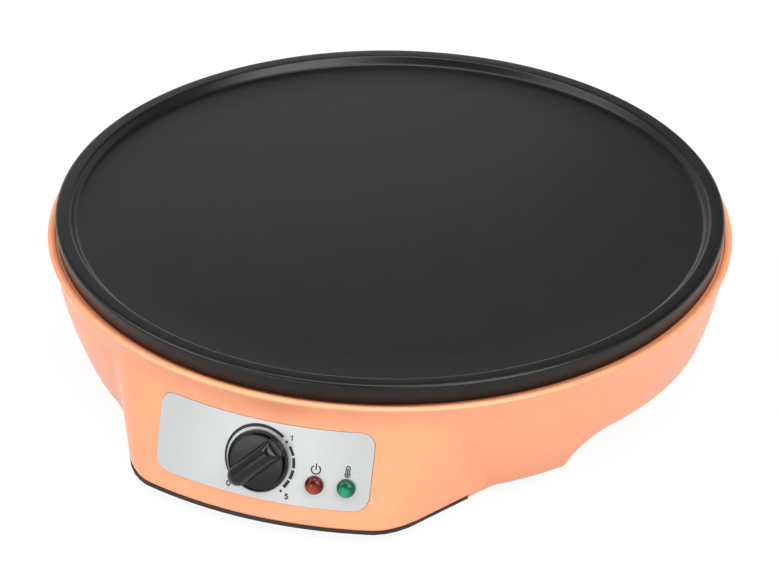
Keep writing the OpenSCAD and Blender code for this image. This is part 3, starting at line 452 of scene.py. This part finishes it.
# %% Pocket and holes
panel_low, panel_high = (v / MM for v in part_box("control_panel"))
PANEL_HALF = (panel_high.x - panel_low.x) / 2
PANEL_ROUND = 6.5
POCKET_GAP = 0.2
LAMP_X = (26.35, 40.25)
LAMP_Z = KNOB_AT.z - 6.8
LENS_R = 4.2
LAMP_HOLE_R = LENS_R - 0.4
BUSH_HOLE_R = 5.2
HOLE_LOW, HOLE_HIGH = -8, 3
PANEL_FOOT_Z = 15.5
PANEL_TOP = (PANEL_Z - PANEL_FOOT_Z) / math.cos(LEAN)
PANEL_FOOT = -PANEL_TOP
POCKET_LOW, POCKET_HIGH = -0.7, 4


def panel_outline(grow, steps=8):
    """Rounded rectangle of the panel, measured flat, with close points along its long sides."""
    r, x, y = PANEL_ROUND + grow, PANEL_HALF - PANEL_ROUND, PANEL_TOP - PANEL_ROUND
    run = np.linspace(-x, x, 40)[1:-1]
    right = arc(x, -y, r, -90, 0, steps) + arc(x, y, r, 0, 90, steps)
    left = arc(-x, y, r, 90, 180, steps) + arc(-x, -y, r, 180, 270, steps)
    top = [(v, PANEL_TOP + grow) for v in run[::-1]]
    foot = [(v, PANEL_FOOT - grow) for v in run]
    return right + top + left + foot


def face_solid(name, outline, low, high, rows=10):
    """A closed slab on the face; its inner rows are the outline shrunk towards its middle."""
    shape = np.array(outline)
    middle = shape.mean(0)
    shrink = np.linspace(1, 0, rows + 1)[:-1]
    rings = [(s, low) for s in shrink[::-1]] + [(s, high) for s in shrink]
    points = [onto_face(*(middle + (p - middle) * s), out) for s, out in rings for p in shape]
    return to_mesh(name, points, grid_faces(2 * rows, len(shape)) + end_caps(2 * rows, len(shape)))


carve(housing, face_solid("pocket", panel_outline(POCKET_GAP), POCKET_LOW, POCKET_HIGH))
carve(housing, place(rod_tool("bush_hole", BUSH_HOLE_R, HOLE_LOW, HOLE_HIGH), knob_frame))
for x in LAMP_X:
    hole = rod_tool("lamp_hole", LAMP_HOLE_R, HOLE_LOW, HOLE_HIGH)
    carve(housing, place(hole, face_frame(x, LAMP_Z)))

gland_low, gland_high = (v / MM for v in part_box("cord_gland"))
GLAND_Z = (gland_low.z + gland_high.z) / 2
GLAND_HEAD = 3
PAD_R, PAD_EDGE, PAD_L = 11, 1, 14
BARREL_R, BARREL_IN, BARREL_OUT = 6.7, -23, 2
pad_at = Matrix.Translation(Vector((0, gland_high.y - GLAND_HEAD, GLAND_Z)) * MM)
along_y = pad_at @ Matrix.Rotation(-math.pi / 2, 4, "X")
pad_edge = arc(PAD_R - PAD_EDGE, -PAD_EDGE, PAD_EDGE, 0, 90)
pad = lathe("gland_pad", [(0, -PAD_L), (PAD_R, -PAD_L), *pad_edge, (0, 0)], 64)
carve(housing, place(pad, along_y), "UNION")
carve(housing, place(rod_tool("barrel_hole", BARREL_R, BARREL_IN, BARREL_OUT), along_y))
smooth(housing, 32)
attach(housing, "base")
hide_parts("housing")
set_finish(housing, "orange_plastic")
print("housing finished with", len(housing.data.polygons), "faces")


# %% [markdown]
# ## The plate
#
# A cast aluminium disc with a raised rim that keeps the batter in. Turned on a lathe and sprayed with
# a non-stick coating, its edges are slightly rounded, and those small roundings are what catch the
# light as two thin bright lines. So the section is drawn with its real fillets and turned round.

# %% Plate
RIM_W, SLOPE_W = 6.9, 2.4
RECESS, CAST, BAND_H = 4, 5, 10
RIM_IN_R = PLATE_R - RIM_W
SURFACE_R = RIM_IN_R - SLOPE_W
SURFACE_Z = RIM_Z - RECESS
BAND_Z = RIM_Z - BAND_H
UNDER_Z = SURFACE_Z - CAST
BAND_TAPER = 0.7
BAND_ROUND = 0.7
RIM_ROUND = 1.6
FOOT_FILLET = 2.4
# The band's inner edge, as (millimetres inside the plate's edge, height).
BAND_INSIDE = [(6.2, UNDER_Z), (6, BAND_Z + 0.2), (5.8, BAND_Z)]
slope_turn = math.degrees(math.atan2(RIM_Z - SURFACE_Z, RIM_IN_R - SURFACE_R))
tangent = math.tan(math.radians(slope_turn / 2))
band_r = PLATE_R - BAND_TAPER - BAND_ROUND
crest_r = RIM_IN_R + RIM_ROUND * tangent
fillet_r = SURFACE_R - FOOT_FILLET * tangent
plate_section = (
    [(0, UNDER_Z)] + [(PLATE_R - inside, z) for inside, z in BAND_INSIDE]
    + arc(band_r, BAND_Z + BAND_ROUND, BAND_ROUND, -90, 0, 4)
    + arc(PLATE_R - RIM_ROUND, RIM_Z - RIM_ROUND, RIM_ROUND, 0, 90, 12)
    + arc(crest_r, RIM_Z - RIM_ROUND, RIM_ROUND, 90, 90 + slope_turn, 8)
    + arc(fillet_r, SURFACE_Z + FOOT_FILLET, FOOT_FILLET, slope_turn - 90, -90, 8)
    + [(r, SURFACE_Z) for r in (120, 80, 40, 0)]
)
plate = place(lathe("coated_plate", plate_section, 360), ON_AXIS)
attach(plate, "base")
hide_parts("cooking_plate")
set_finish(plate, "nonstick")
print("plate points", len(plate.data.vertices))


# %% [markdown]
# ## The knob
#
# A bar knob: a round skirt with a raised ring, a groove inside it, a sunk disc, and a grip bar across.
# The bar has a round nose that points at the scale, and a squarer tail that stays inside the skirt. It
# could be a box with a bevel modifier, but its ends differ and its top is crowned, so it is built from
# rings that follow its outline and step inwards over the rounded edge.

# %% Knob
KNOB_R = 14.1
KNOB_H = 13
NOSE_TURN = math.radians(225)
SKIRT_Z = 0.6
UNDER_KNOB_Z = SKIRT_Z + 0.1
RING_Z = SKIRT_Z + 2.2
DISC_Z = RING_Z + 1.25
GROOVE_Z = RING_Z - 1
UNDER_R, RING_IN_R, GROOVE_OUT_R, GROOVE_IN_R, DISC_R = 13.5, 13.35, 13.1, 12.4, 12.35
SKIRT_EDGE, RING_EDGE, RING_IN_EDGE, DISC_EDGE = 0.4, 0.45, 0.2, 0.5
GRIP_R = 4.6
GRIP_FOOT_R = 4.95
GRIP_OUT = KNOB_R - GRIP_FOOT_R
GRIP_DOME = 5
NOSE_DROP = 1.3
GRIP_SUNK, FOOT_SUNK = 0.2, 0.3
NUT_R, NUT_TOP, SPINDLE_R = 8.9, 3.35, 3.05
SPINDLE_TOP = KNOB_H - 2.5
SQUARE_TAIL, ROUND_TAIL = 6.0, 2.0

skirt_section = (
    [(0, UNDER_KNOB_Z), (UNDER_R, UNDER_KNOB_Z)]
    + arc(KNOB_R - SKIRT_EDGE, UNDER_KNOB_Z + SKIRT_EDGE, SKIRT_EDGE, -90, 0, 3)
    + arc(KNOB_R - RING_EDGE, RING_Z - RING_EDGE, RING_EDGE, 0, 90, 5)
    + arc(RING_IN_R, RING_Z - RING_IN_EDGE, RING_IN_EDGE, 90, 180, 3)
    + [(GROOVE_OUT_R, GROOVE_Z), (GROOVE_IN_R, GROOVE_Z)]
    + arc(DISC_R - DISC_EDGE, DISC_Z - DISC_EDGE, DISC_EDGE, 0, 90, 5)
    + [(0, DISC_Z)]
)
knob = lathe("bar_knob", skirt_section, 128)


def bar_outline(radius, square=SQUARE_TAIL, steps=20):
    """Outline of a bar with a round nose towards +X and a tail that is round for a square of 2."""
    tail = []
    for t in np.linspace(math.pi / 2, -math.pi / 2, steps + 1):
        across = math.sin(t)
        bulge = (1 - min(abs(across), 1) ** square) ** (1 / square)
        skirt = math.sqrt(KNOB_R**2 - (radius * across) ** 2)
        tail.append((-min(GRIP_OUT + radius * bulge, skirt), radius * across))
    return arc(GRIP_OUT, 0, radius, -90, 90, steps) + tail


def layered(name, layers, crisp):
    """A closed solid from outlines laid on each other, with the same number of points in each."""
    count = len(layers[0])
    faces = grid_faces(len(layers), count) + end_caps(len(layers), count)
    return to_mesh(name, [p for layer in layers for p in layer], faces, crisp)


def grip_bar():
    """The bar: upright sides, then a top that is half an ellipse across and falls towards the nose."""
    spring = KNOB_H - GRIP_DOME
    levels = (GROOVE_Z - GRIP_SUNK, DISC_Z + 1.5, spring - 1)
    layers = [[(x, y, z) for x, y in bar_outline(GRIP_R)] for z in levels]
    for a in np.radians([*range(0, 86, 6), 88]):
        square = ROUND_TAIL + (SQUARE_TAIL - ROUND_TAIL) * math.cos(a) ** 2
        layer = []
        for x, y in bar_outline(GRIP_R * math.cos(a), square):
            nose = np.clip(x / (GRIP_OUT + GRIP_R), 0, 1)
            rise = GRIP_DOME - NOSE_DROP * nose * nose
            layer.append((x, y, spring + rise * math.sin(a)))
        layers.append(layer)
    return layered("grip_bar", layers, 60)


def grip_foot():
    """A low step round the bar's foot."""
    levels = [(GROOVE_Z - FOOT_SUNK, 0.0), (DISC_Z + 0.7, 0.0)]
    levels += [(DISC_Z + 0.9, 0.08), (DISC_Z + 1.0, 0.28)]
    layers = [[(x, y, z) for x, y in bar_outline(GRIP_FOOT_R - inset)] for z, inset in levels]
    return layered("grip_foot", layers, 50)


carve(knob, grip_foot(), "UNION")
carve(knob, grip_bar(), "UNION")
nut_space = [(0, 0), (NUT_R, 0), (NUT_R, NUT_TOP)]
spindle_space = [(SPINDLE_R, NUT_TOP), (SPINDLE_R, SPINDLE_TOP), (0, SPINDLE_TOP)]
carve(knob, lathe("nut_space", nut_space + spindle_space, 64))
smooth(knob, 40)
place(knob, knob_frame @ Matrix.Rotation(NOSE_TURN, 4, "Z"))
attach(knob, "knob")
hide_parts("knob")
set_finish(knob, "knob_plastic")
print("knob faces", len(knob.data.polygons))


# %% [markdown]
# ## Lamp lenses
#
# Small domes of tinted clear plastic, pushed through the panel. Each is a turned shell over a hollow
# for the lamp. The lens material is opaque, and the glow low inside each dome is painted into its colour.

# %% Lenses
LENS_FLANGE = 0.5
LENS_DOME = 3.2
LENS_ON = 0.32
LENS_TAIL = -6
BORE_R, BORE_RISE, BORE_LOW = 2.5, 1.2, 0.6


def lens(name, node, x, slot):
    """A dome with a flange on the panel, and a tail with a blind bore for the lamp."""
    r, tail_r, foot = LENS_R, LENS_R - 0.6, LENS_ON + LENS_FLANGE
    dome_turns = np.radians(np.arange(0, 90, 7.5))
    dome = [(r * math.cos(a), foot + LENS_DOME * math.sin(a)) for a in dome_turns]
    bore_turns = np.radians(np.arange(0, 91, 15))
    bore = [(BORE_R * math.sin(a), BORE_RISE * math.cos(a) - BORE_LOW) for a in bore_turns]
    tail = [(BORE_R, LENS_TAIL), (tail_r, LENS_TAIL), (tail_r, LENS_ON), (r - 0.05, LENS_ON + 0.01)]
    section = bore + tail + dome + [(0, foot + LENS_DOME)]
    obj = lathe(name, section[::-1], 64)
    place(obj, face_frame(x, LAMP_Z))
    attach(obj, "base")
    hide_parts(node)
    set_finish(obj, slot)
    return obj


lenses = [
    lens("red_lens", "power_lens", LAMP_X[0], "red_lens"),
    lens("green_lens", "ready_lens", LAMP_X[1], "green_lens"),
]
print("lenses at", [round(x, 1) for x in LAMP_X])


# %% [markdown]
# ## The print on the panel
#
# The scale round the knob, the figures and the two symbols are screen-printed in black. A print has
# almost no thickness, so each mark is a ribbon a few hundredths of a millimetre high, drawn flat
# and bent onto the face. A ribbon follows any line, and its width may grow from one end to the other.

# %% Ribbons
INK_LOW, INK_HIGH = 0.28, 0.34


def to_unit(rows):
    return rows / np.linalg.norm(rows, axis=1)[:, None]


def ribbon(line, wide, wide_end=None, closed=False):
    """Both edges of a broad line through (a, b) points; the width runs from wide to wide_end."""
    line = np.array(line, float)
    ahead = np.roll(line, -1, 0) - line
    back = line - np.roll(line, 1, 0)
    if not closed:
        ahead[-1], back[0] = back[-1], ahead[0]
    along = to_unit(to_unit(ahead) + to_unit(back))
    side = np.stack([-along[:, 1], along[:, 0]], 1)
    half = np.linspace(wide, wide if wide_end is None else wide_end, len(line))[:, None] / 2
    return line + side * half, line - side * half, closed


def printed(name, ribbons):
    """A mesh of thin closed ribbons on the face."""
    points, faces = [], []
    for left, right, closed in ribbons:
        start, n = len(points), len(left)
        for l, r in zip(left, right):
            points += [onto_face(*l, INK_LOW), onto_face(*l, INK_HIGH)]
            points += [onto_face(*r, INK_HIGH), onto_face(*r, INK_LOW)]
        for i in range(n if closed else n - 1):
            p, q = start + 4 * i, start + 4 * ((i + 1) % n)
            faces += [(p + k, q + k, q + (k + 1) % 4, p + (k + 1) % 4) for k in range(4)]
        if not closed:
            last = start + 4 * (n - 1)
            faces += [(start, start + 1, start + 2, start + 3), (last + 3, last + 2, last + 1, last)]
    obj = to_mesh(name, points, faces, 30)
    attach(obj, "base")
    return obj


def dot(a, b, radius):
    """A filled round mark, as a short fat ring closed to its middle."""
    return ribbon(arc(a, b, radius / 2, 0, 345, 23), radius, closed=True)


# %% Scale, figures and symbols
SCALE_AT = (0.45, -0.45)
SCALE_R = 15.95
DASH_TURNS = ((33.5, 17.5), (14, -3), (-6.3, -22), (-24.8, -39.4))
scale = [
    ribbon(arc(*SCALE_AT, SCALE_R, 213, 100, 40), 0.8, 1.6),
    ribbon(arc(*SCALE_AT, SCALE_R, 100, 51.5, 20), 1.6, 1.4),
]
for i, (start, end) in enumerate(DASH_TURNS):
    wide = 1.2 + 0.1 * i
    scale.append(ribbon(arc(*SCALE_AT, SCALE_R, start, end, 6), wide, wide + 0.1))
scale += [dot(12.15, 10.2, 0.65), dot(11.75, -12.5, 0.6)]

FIGURE_PEN = 0.62


def oval(a, b, wide, high):
    turns_round = np.linspace(0, 2 * math.pi, 24, endpoint=False)
    line = [(a + wide / 2 * math.cos(t), b + high / 2 * math.sin(t)) for t in turns_round]
    return ribbon(line, FIGURE_PEN, closed=True)


def figure_one(a, b, high=2.2):
    return [ribbon([(a - 0.7, b + high / 2 - 0.6), (a, b + high / 2), (a, b - high / 2)], FIGURE_PEN)]


def figure_five(a, b, high=2.2):
    top, foot = b + high / 2, b - high / 2
    bowl = [(a + x, b + y) for x, y in arc(-0.05, -0.4, 0.72, 120, -140, 14)]
    return [ribbon([(a + 0.65, top), (a - 0.5, top), (a - 0.6, b + 0.1)] + bowl, FIGURE_PEN)]


figures = [oval(-12.8, -14.1, 1.6, 2.3)] + figure_one(14.4, 12.3) + figure_five(14.5, -14.6)

SYMBOL_PEN = 0.6
TUBE_PEN = 0.5
POWER_AT, HEAT_AT = (26.35, 0.0), (40.15, 0.0)


def power_symbol(a, b):
    """An open circle with an upright stroke in its gap."""
    circle = ribbon(arc(a, b - 0.45, 2.0, 122, 418, 30), SYMBOL_PEN)
    return [circle, ribbon([(a, b - 0.5), (a, b + 2.4)], SYMBOL_PEN)]


def heat_symbol(a, b):
    """A thermometer: a tube with a round bulb and a filled core."""
    tube, bulb, bulb_b = 0.8, 1.1, b - 1.35
    outline = arc(a, bulb_b, bulb, 137, 403, 20) + arc(a, b + 1.65, tube, 0, 180, 10)
    core = ribbon([(a, b + 1.5), (a, b - 1.2)], SYMBOL_PEN)
    return [ribbon(outline, TUBE_PEN, closed=True), core, dot(a, bulb_b, 0.6)]


prints = printed("panel_print", scale + figures + power_symbol(*POWER_AT) + heat_symbol(*HEAT_AT))
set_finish(prints, "black_plastic")
print("printed faces", len(prints.data.polygons))


# %% [markdown]
# ## Materials
#
# One function turns a hex colour as written for a screen into the linear numbers that light needs,
# and one adds a node with its settings and links. Each finish below says what the real one is and
# what that gives the eye.

# %% Material helpers
def linear(code):
    """Linear red, green, blue and alpha from an sRGB hex colour."""
    parts = [int(code[i:i + 2], 16) / 255 for i in (1, 3, 5)]
    return (*[p / 12.92 if p <= 0.04045 else ((p + 0.055) / 1.055) ** 2.4 for p in parts], 1.0)


def add(tree, kind, sockets=(), **settings):
    """Adds a node; a socket's value is a number, a colour, or another node's output to link."""
    node = tree.nodes.new("ShaderNode" + kind)
    for name, value in settings.items():
        setattr(node, name, value)
    for name, value in dict(sockets).items():
        if isinstance(value, bpy.types.NodeSocket):
            tree.links.new(value, node.inputs[name])
        else:
            node.inputs[name].default_value = value
    return node


def new_material(name, **sockets):
    """A material with one shader; words of a socket's name are joined by underscores."""
    material = bpy.data.materials.new(name)
    material.use_nodes = True
    shader = material.node_tree.nodes["Principled BSDF"]
    for socket, value in sockets.items():
        shader.inputs[socket.replace("_", " ")].default_value = value
    return material, material.node_tree, shader


def per_mm(size):
    """Scale of a pattern whose features are this many millimetres apart."""
    return 1 / (size * MM)


def speckle(tree, size, detail=2.0):
    """Noise of a real grain size, on the object's own coordinates."""
    here = add(tree, "TexCoord").outputs["Object"]
    return add(tree, "TexNoise", {"Vector": here, "Scale": per_mm(size), "Detail": detail})


def remap(tree, value, from_min, from_max, to_min, to_max):
    """Maps one range of a value onto another."""
    ends = {"From Min": from_min, "From Max": from_max, "To Min": to_min, "To Max": to_max}
    return add(tree, "MapRange", {"Value": value, **ends})


def blend(tree, shader, value, first, second, low=0.0, high=1.0):
    """Base colour that goes from one hex colour to another with a value."""
    ramp = add(tree, "ValToRGB", {"Fac": value})
    for element, place_at, code in zip(ramp.color_ramp.elements, (low, high), (first, second)):
        element.position, element.color = place_at, linear(code)
    tree.links.new(ramp.outputs["Color"], shader.inputs["Base Color"])


def vary_colour(tree, shader, noise, dark, light, low=0.3, high=0.7):
    """Lets a noise move the colour between two close shades."""
    blend(tree, shader, noise.outputs["Fac"], dark, light, low, high)


def vary_roughness(tree, shader, noise, low, high):
    """Lets a noise move the roughness between two values."""
    level = remap(tree, noise.outputs["Fac"], 0.3, 0.7, low, high)
    tree.links.new(level.outputs["Result"], shader.inputs["Roughness"])


def roughen(tree, shader, noise, height_mm, strength):
    """Bump of a real height."""
    sockets = {"Height": noise.outputs["Fac"], "Distance": height_mm * MM, "Strength": strength}
    tree.links.new(add(tree, "Bump", sockets).outputs["Normal"], shader.inputs["Normal"])


# %% [markdown]
# The housing is injection-moulded ABS in a peach orange. The mould is polished but not mirror bright,
# so the surface has soft highlights, a faint orange-peel wave a few millimetres long, and almost no
# change of colour.

# %% Moulded ABS
def moulded_abs():
    material, tree, shader = new_material(
        "abs_peach_moulded", IOR=1.53, Coat_Weight=0.05, Coat_Roughness=0.2)
    wave = speckle(tree, 9, 1.0)
    vary_colour(tree, shader, wave, "#F19B71", "#F29F75")
    vary_roughness(tree, shader, wave, 0.3, 0.38)
    roughen(tree, shader, speckle(tree, 2.5, 1.0), 0.02, 0.35)
    return material


# %% [markdown]
# The plate's coating is a sprayed and baked fluoropolymer. It is nearly black, dull, and full of fine
# specks; at a low angle it still gives back a broad pale sheen. The specks are really about 0.2 mm
# and are drawn at 0.6 mm, because finer ones would blur away.

# %% Non-stick coating
def nonstick_coating():
    material, tree, shader = new_material("ptfe_coating_sprayed", IOR=1.38)
    fine = speckle(tree, 0.6, 3.0)
    vary_colour(tree, shader, fine, "#0A0A09", "#131312", 0.35, 0.68)
    vary_roughness(tree, shader, speckle(tree, 14, 3.0), 0.28, 0.33)
    roughen(tree, shader, fine, 0.06, 0.9)
    return material


# %% [markdown]
# The panel is a rigid plastic plate with a satin silver-grey lacquer. The lacquer holds fine metal
# flakes, so it is half a metal, with a soft broad reflection and a grain under a millimetre.

# %% Satin lacquer
def satin_lacquer():
    material, tree, shader = new_material("silver_lacquer_satin", IOR=1.5, Metallic=0.45)
    grain = speckle(tree, 0.5, 2.0)
    vary_colour(tree, shader, grain, "#BABDBC", "#C2C5C4")
    vary_roughness(tree, shader, grain, 0.36, 0.43)
    roughen(tree, shader, grain, 0.01, 0.3)
    return material


# %% [markdown]
# The knob is black ABS with a fine spark-eroded grain. It reflects a lamp as a soft grey patch, so it
# is a little glossier than the coating. The base cover is duller polypropylene, and the print on the
# panel is a flat black ink.

# %% Black mouldings
def black_abs():
    material, tree, shader = new_material("abs_black_moulded", IOR=1.46, Specular_IOR_Level=0.36)
    grain = speckle(tree, 0.4, 2.0)
    vary_colour(tree, shader, grain, "#0D0D0D", "#141414")
    vary_roughness(tree, shader, speckle(tree, 5, 1.0), 0.17, 0.22)
    roughen(tree, shader, grain, 0.01, 0.4)
    return material


def black_cover():
    material, tree, shader = new_material("polypropylene_black", IOR=1.49)
    grain = speckle(tree, 1.0, 2.0)
    vary_colour(tree, shader, grain, "#15120F", "#1C1815")
    vary_roughness(tree, shader, grain, 0.48, 0.6)
    roughen(tree, shader, grain, 0.03, 0.4)
    return material


def printing_ink():
    material, tree, shader = new_material("screen_ink_black", IOR=1.5)
    grain = speckle(tree, 0.3, 2.0)
    vary_colour(tree, shader, grain, "#0E0F10", "#191A1B")
    vary_roughness(tree, shader, grain, 0.5, 0.6)
    return material


# %% [markdown]
# The lenses are tinted acrylic. The light that a real dome gathers low inside it is painted here: the
# base colour is a bright painted glow at a spot low in the dome, and it is deep near the rim.

# %% Tinted acrylic
# Where the painted glow in each lens is brightest, in the frame of the lens on the face, and how far it fades, as
# parts of the lens radius.
PAINTED_GLOW_SPOT = Vector((-0.12 * LENS_R, -0.42 * LENS_R, 3.0))
PAINTED_GLOW_REACH = (0.1, 0.9)


def tinted_acrylic(name, x, deep, bright):
    """x is the lens's place on the face. A spot low in its dome carries a painted glow in the base colour."""
    material, tree, shader = new_material(name, IOR=1.49, Specular_IOR_Level=0.3)
    painted_glow_at = face_frame(x, LAMP_Z) @ (PAINTED_GLOW_SPOT * MM)
    here = add(tree, "TexCoord").outputs["Object"]
    far = add(tree, "VectorMath", {0: here, 1: painted_glow_at}, operation="DISTANCE")
    near_end, far_end = (part * LENS_R * MM for part in PAINTED_GLOW_REACH)
    fade = remap(tree, far.outputs["Value"], near_end, far_end, 0, 1)
    # Painted glow: the base colour goes from the bright colour at the spot to the deep one towards the rim.
    blend(tree, shader, fade.outputs["Result"], bright, deep)
    vary_roughness(tree, shader, speckle(tree, 1.5, 1.0), 0.13, 0.18)
    return material


# %% [markdown]
# The pieces inside are hardly seen, but each still has the finish of its real material: zinc-plated
# and darkened steel, aluminium sheet, brass, copper, ceramic, phenolic, nylon, rubber and the
# insulation of the wires. They differ in colour, roughness and grain, so one function makes them.

# %% Plain technical finishes
def technical(name, dark, light, rough, grain_mm, bump_mm, **sockets):
    """A finish whose colour, roughness and height all follow one grain."""
    material, tree, shader = new_material(name, **sockets)
    grain = speckle(tree, grain_mm, 3.0)
    vary_colour(tree, shader, grain, dark, light)
    vary_roughness(tree, shader, grain, *rough)
    roughen(tree, shader, grain, bump_mm, 0.4)
    return material


finishes = {
    "nonstick": nonstick_coating(),
    "orange_plastic": moulded_abs(),
    "panel_grey": satin_lacquer(),
    "black_plastic": black_cover(),
    "knob_plastic": black_abs(),
    # The second colour of each lens is its painted glow.
    "red_lens": tinted_acrylic("acrylic_red_tinted", LAMP_X[0], "#4A0C07", "#AE4220"),
    "green_lens": tinted_acrylic("acrylic_green_tinted", LAMP_X[1], "#024A31", "#18A676"),
}

# Slot, material, two shades, roughness, and the grain's spacing and height in millimetres.
METALS = [
    ("zinc_steel", "steel_zinc_plated", "#A9ACAE", "#C2C4C5", (0.28, 0.4), 1.5, 0.01),
    ("element_steel", "steel_heat_darkened", "#4E4740", "#7A726A", (0.4, 0.6), 3, 0.02),
    ("aluminised_sheet", "aluminium_sheet_rolled", "#BFC1C2", "#D0D2D3", (0.25, 0.38), 2, 0.01),
    ("brass", "brass_turned", "#B78F3C", "#CFA852", (0.22, 0.34), 1, 0.01),
    ("copper", "copper_drawn", "#9C5B3A", "#BE7A55", (0.25, 0.4), 2, 0.01),
]
OTHERS = [
    ("black_rubber", "nitrile_rubber", "#141414", "#1D1D1D", (0.7, 0.85), 1.2, 0.05),
    ("ceramic_white", "steatite_fired", "#E4DFD2", "#F0ECE2", (0.5, 0.65), 1, 0.03),
    ("bakelite", "phenolic_moulded", "#3E3229", "#52443A", (0.3, 0.42), 1, 0.01),
    ("nylon_white", "polyamide_natural", "#DEDACF", "#EAE7DE", (0.4, 0.5), 1, 0.01),
    ("blue_insulation", "pvc_blue", "#2A4C95", "#3460B4", (0.4, 0.5), 1, 0.01),
    ("brown_insulation", "pvc_brown", "#5C3820", "#6F4830", (0.4, 0.5), 1, 0.01),
    ("black_insulation", "pvc_black", "#1A1A1A", "#262626", (0.4, 0.5), 1, 0.01),
    ("grey_insulation", "pvc_grey", "#6D7071", "#7E8182", (0.4, 0.5), 1, 0.01),
    ("green_yellow_insulation", "pvc_green_yellow", "#5E8F2C", "#C9C832", (0.4, 0.5), 8, 0.01),
]
LAMP_GLASS = ("lamp_glass_clear", "#E9E2D6", "#F2ECE2", (0.05, 0.1), 3, 0.0)
finishes["lamp_glass"] = technical(*LAMP_GLASS, Transmission_Weight=0.8)
for slot, *finish in METALS:
    finishes[slot] = technical(*finish, Metallic=1.0)
for slot, *finish in OTHERS:
    finishes[slot] = technical(*finish)

# %% Finishes on the pieces
for entry in frame["record"]["subparts"]:
    node = frame["nodes"][entry["node"]]
    node.data.materials.clear()
    node.data.materials.append(finishes[entry["material_slot"]])
    node.data.polygons.foreach_set("material_index", [0] * len(node.data.polygons))

for piece in [housing, plate, knob, *lenses]:
    piece.data.materials.clear()
    piece.data.materials.append(finishes[piece["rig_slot"]])
prints.data.materials.append(printing_ink())
print("finishes", len(finishes) + 1)


# %% [markdown]
# ## Floor, light and world
#
# The maker stands on plain white paper. The floor keeps a soft shadow, and where the camera or a
# reflection sees it, a light of its own lifts it to white. Five soft lamps light the object: the main
# one from the right, a second one from the left, a low weak one in front, a small one behind that
# gives the dark plate its sheen, and one overhead for the thin bright lines on the edges. The world
# is white at the horizon and falls off above it, as a cove does, so the plate mirrors less of it
# towards the front.

# %% Rays that look
def looked_at(tree):
    """1 for rays from the camera, a reflection or a look through glass; 0 for scattered light."""
    path = add(tree, "LightPath").outputs
    rays = {0: path["Is Camera Ray"], 1: path["Is Glossy Ray"]}
    mirrored = add(tree, "Math", rays, operation="ADD", use_clamp=True)
    rays = {0: mirrored.outputs[0], 1: path["Is Transmission Ray"]}
    return add(tree, "Math", rays, operation="ADD", use_clamp=True)


# %% Floor
PAPER_SHADE, PAPER_LIFT = 0.08, 0.925
FLOOR_HALF = 6000


def white_paper():
    """Paper that scatters light as a real sheet, and is lifted to white where it is looked at."""
    material, tree, shader = new_material("paper_white", Roughness=0.9, Base_Color=linear("#CFCFCF"))
    seen = looked_at(tree)
    shown = add(tree, "BsdfDiffuse", {"Color": (PAPER_SHADE, PAPER_SHADE, PAPER_SHADE, 1)})
    lift = add(tree, "Emission", {"Color": linear("#FFFFFF"), "Strength": PAPER_LIFT})
    both = add(tree, "AddShader", {0: shown.outputs[0], 1: lift.outputs[0]})
    mix = add(tree, "MixShader", {0: seen.outputs[0], 1: shader.outputs[0], 2: both.outputs[0]})
    tree.links.new(mix.outputs[0], tree.nodes["Material Output"].inputs["Surface"])
    return material


corners = [(x * FLOOR_HALF, y * FLOOR_HALF, 0) for x, y in ((-1, -1), (1, -1), (1, 1), (-1, 1))]
floor = to_mesh("floor", corners, [(0, 1, 2, 3)])
floor.data.materials.append(white_paper())


# %% Lamps
def softbox(name, turn, rise, far, size, power):
    """A square white lamp aimed at the object. Degrees, metres, watts."""
    data = bpy.data.lights.new(name, "AREA")
    data.shape, data.size, data.energy = "SQUARE", size, power
    lamp = bpy.data.objects.new(name, data)
    bpy.context.scene.collection.objects.link(lamp)
    turn, rise = math.radians(turn), math.radians(rise)
    lamp.matrix_world = Matrix.Translation(way_to(turn, rise) * far) @ look(turn, rise, 0)


softbox("main_right", 60, 43, 2.2, 1.5, 44)
softbox("second_left", -62, 42, 2.2, 1.4, 26)
softbox("low_front", -15, 7, 2.0, 1.0, 8)
softbox("sheen_back", -150, 13, 1.1, 0.7, 1.0)
softbox("overhead", 0, 88, 1.8, 1.2, 18)

# %% World
world = bpy.data.worlds.new("studio")
bpy.context.scene.world = world
world.use_nodes = True
tree = world.node_tree
seen = looked_at(tree)
way_out = add(tree, "TexCoord").outputs["Generated"]
height = add(tree, "SeparateXYZ", {"Vector": way_out}).outputs["Z"]
sky = remap(tree, height, 0.4, 1.0, 0.12, 0.4).outputs["Result"]
cove = remap(tree, height, 0.08, 0.42, 1.0, 0.12).outputs["Result"]
level = add(tree, "Mix", {"Factor": seen.outputs[0], "A": sky, "B": cove})
tree.links.new(level.outputs["Result"], tree.nodes["Background"].inputs["Strength"])
tree.nodes["Background"].inputs["Color"].default_value = (1, 1, 1, 1)

bpy.context.scene.view_settings.view_transform = "Standard"
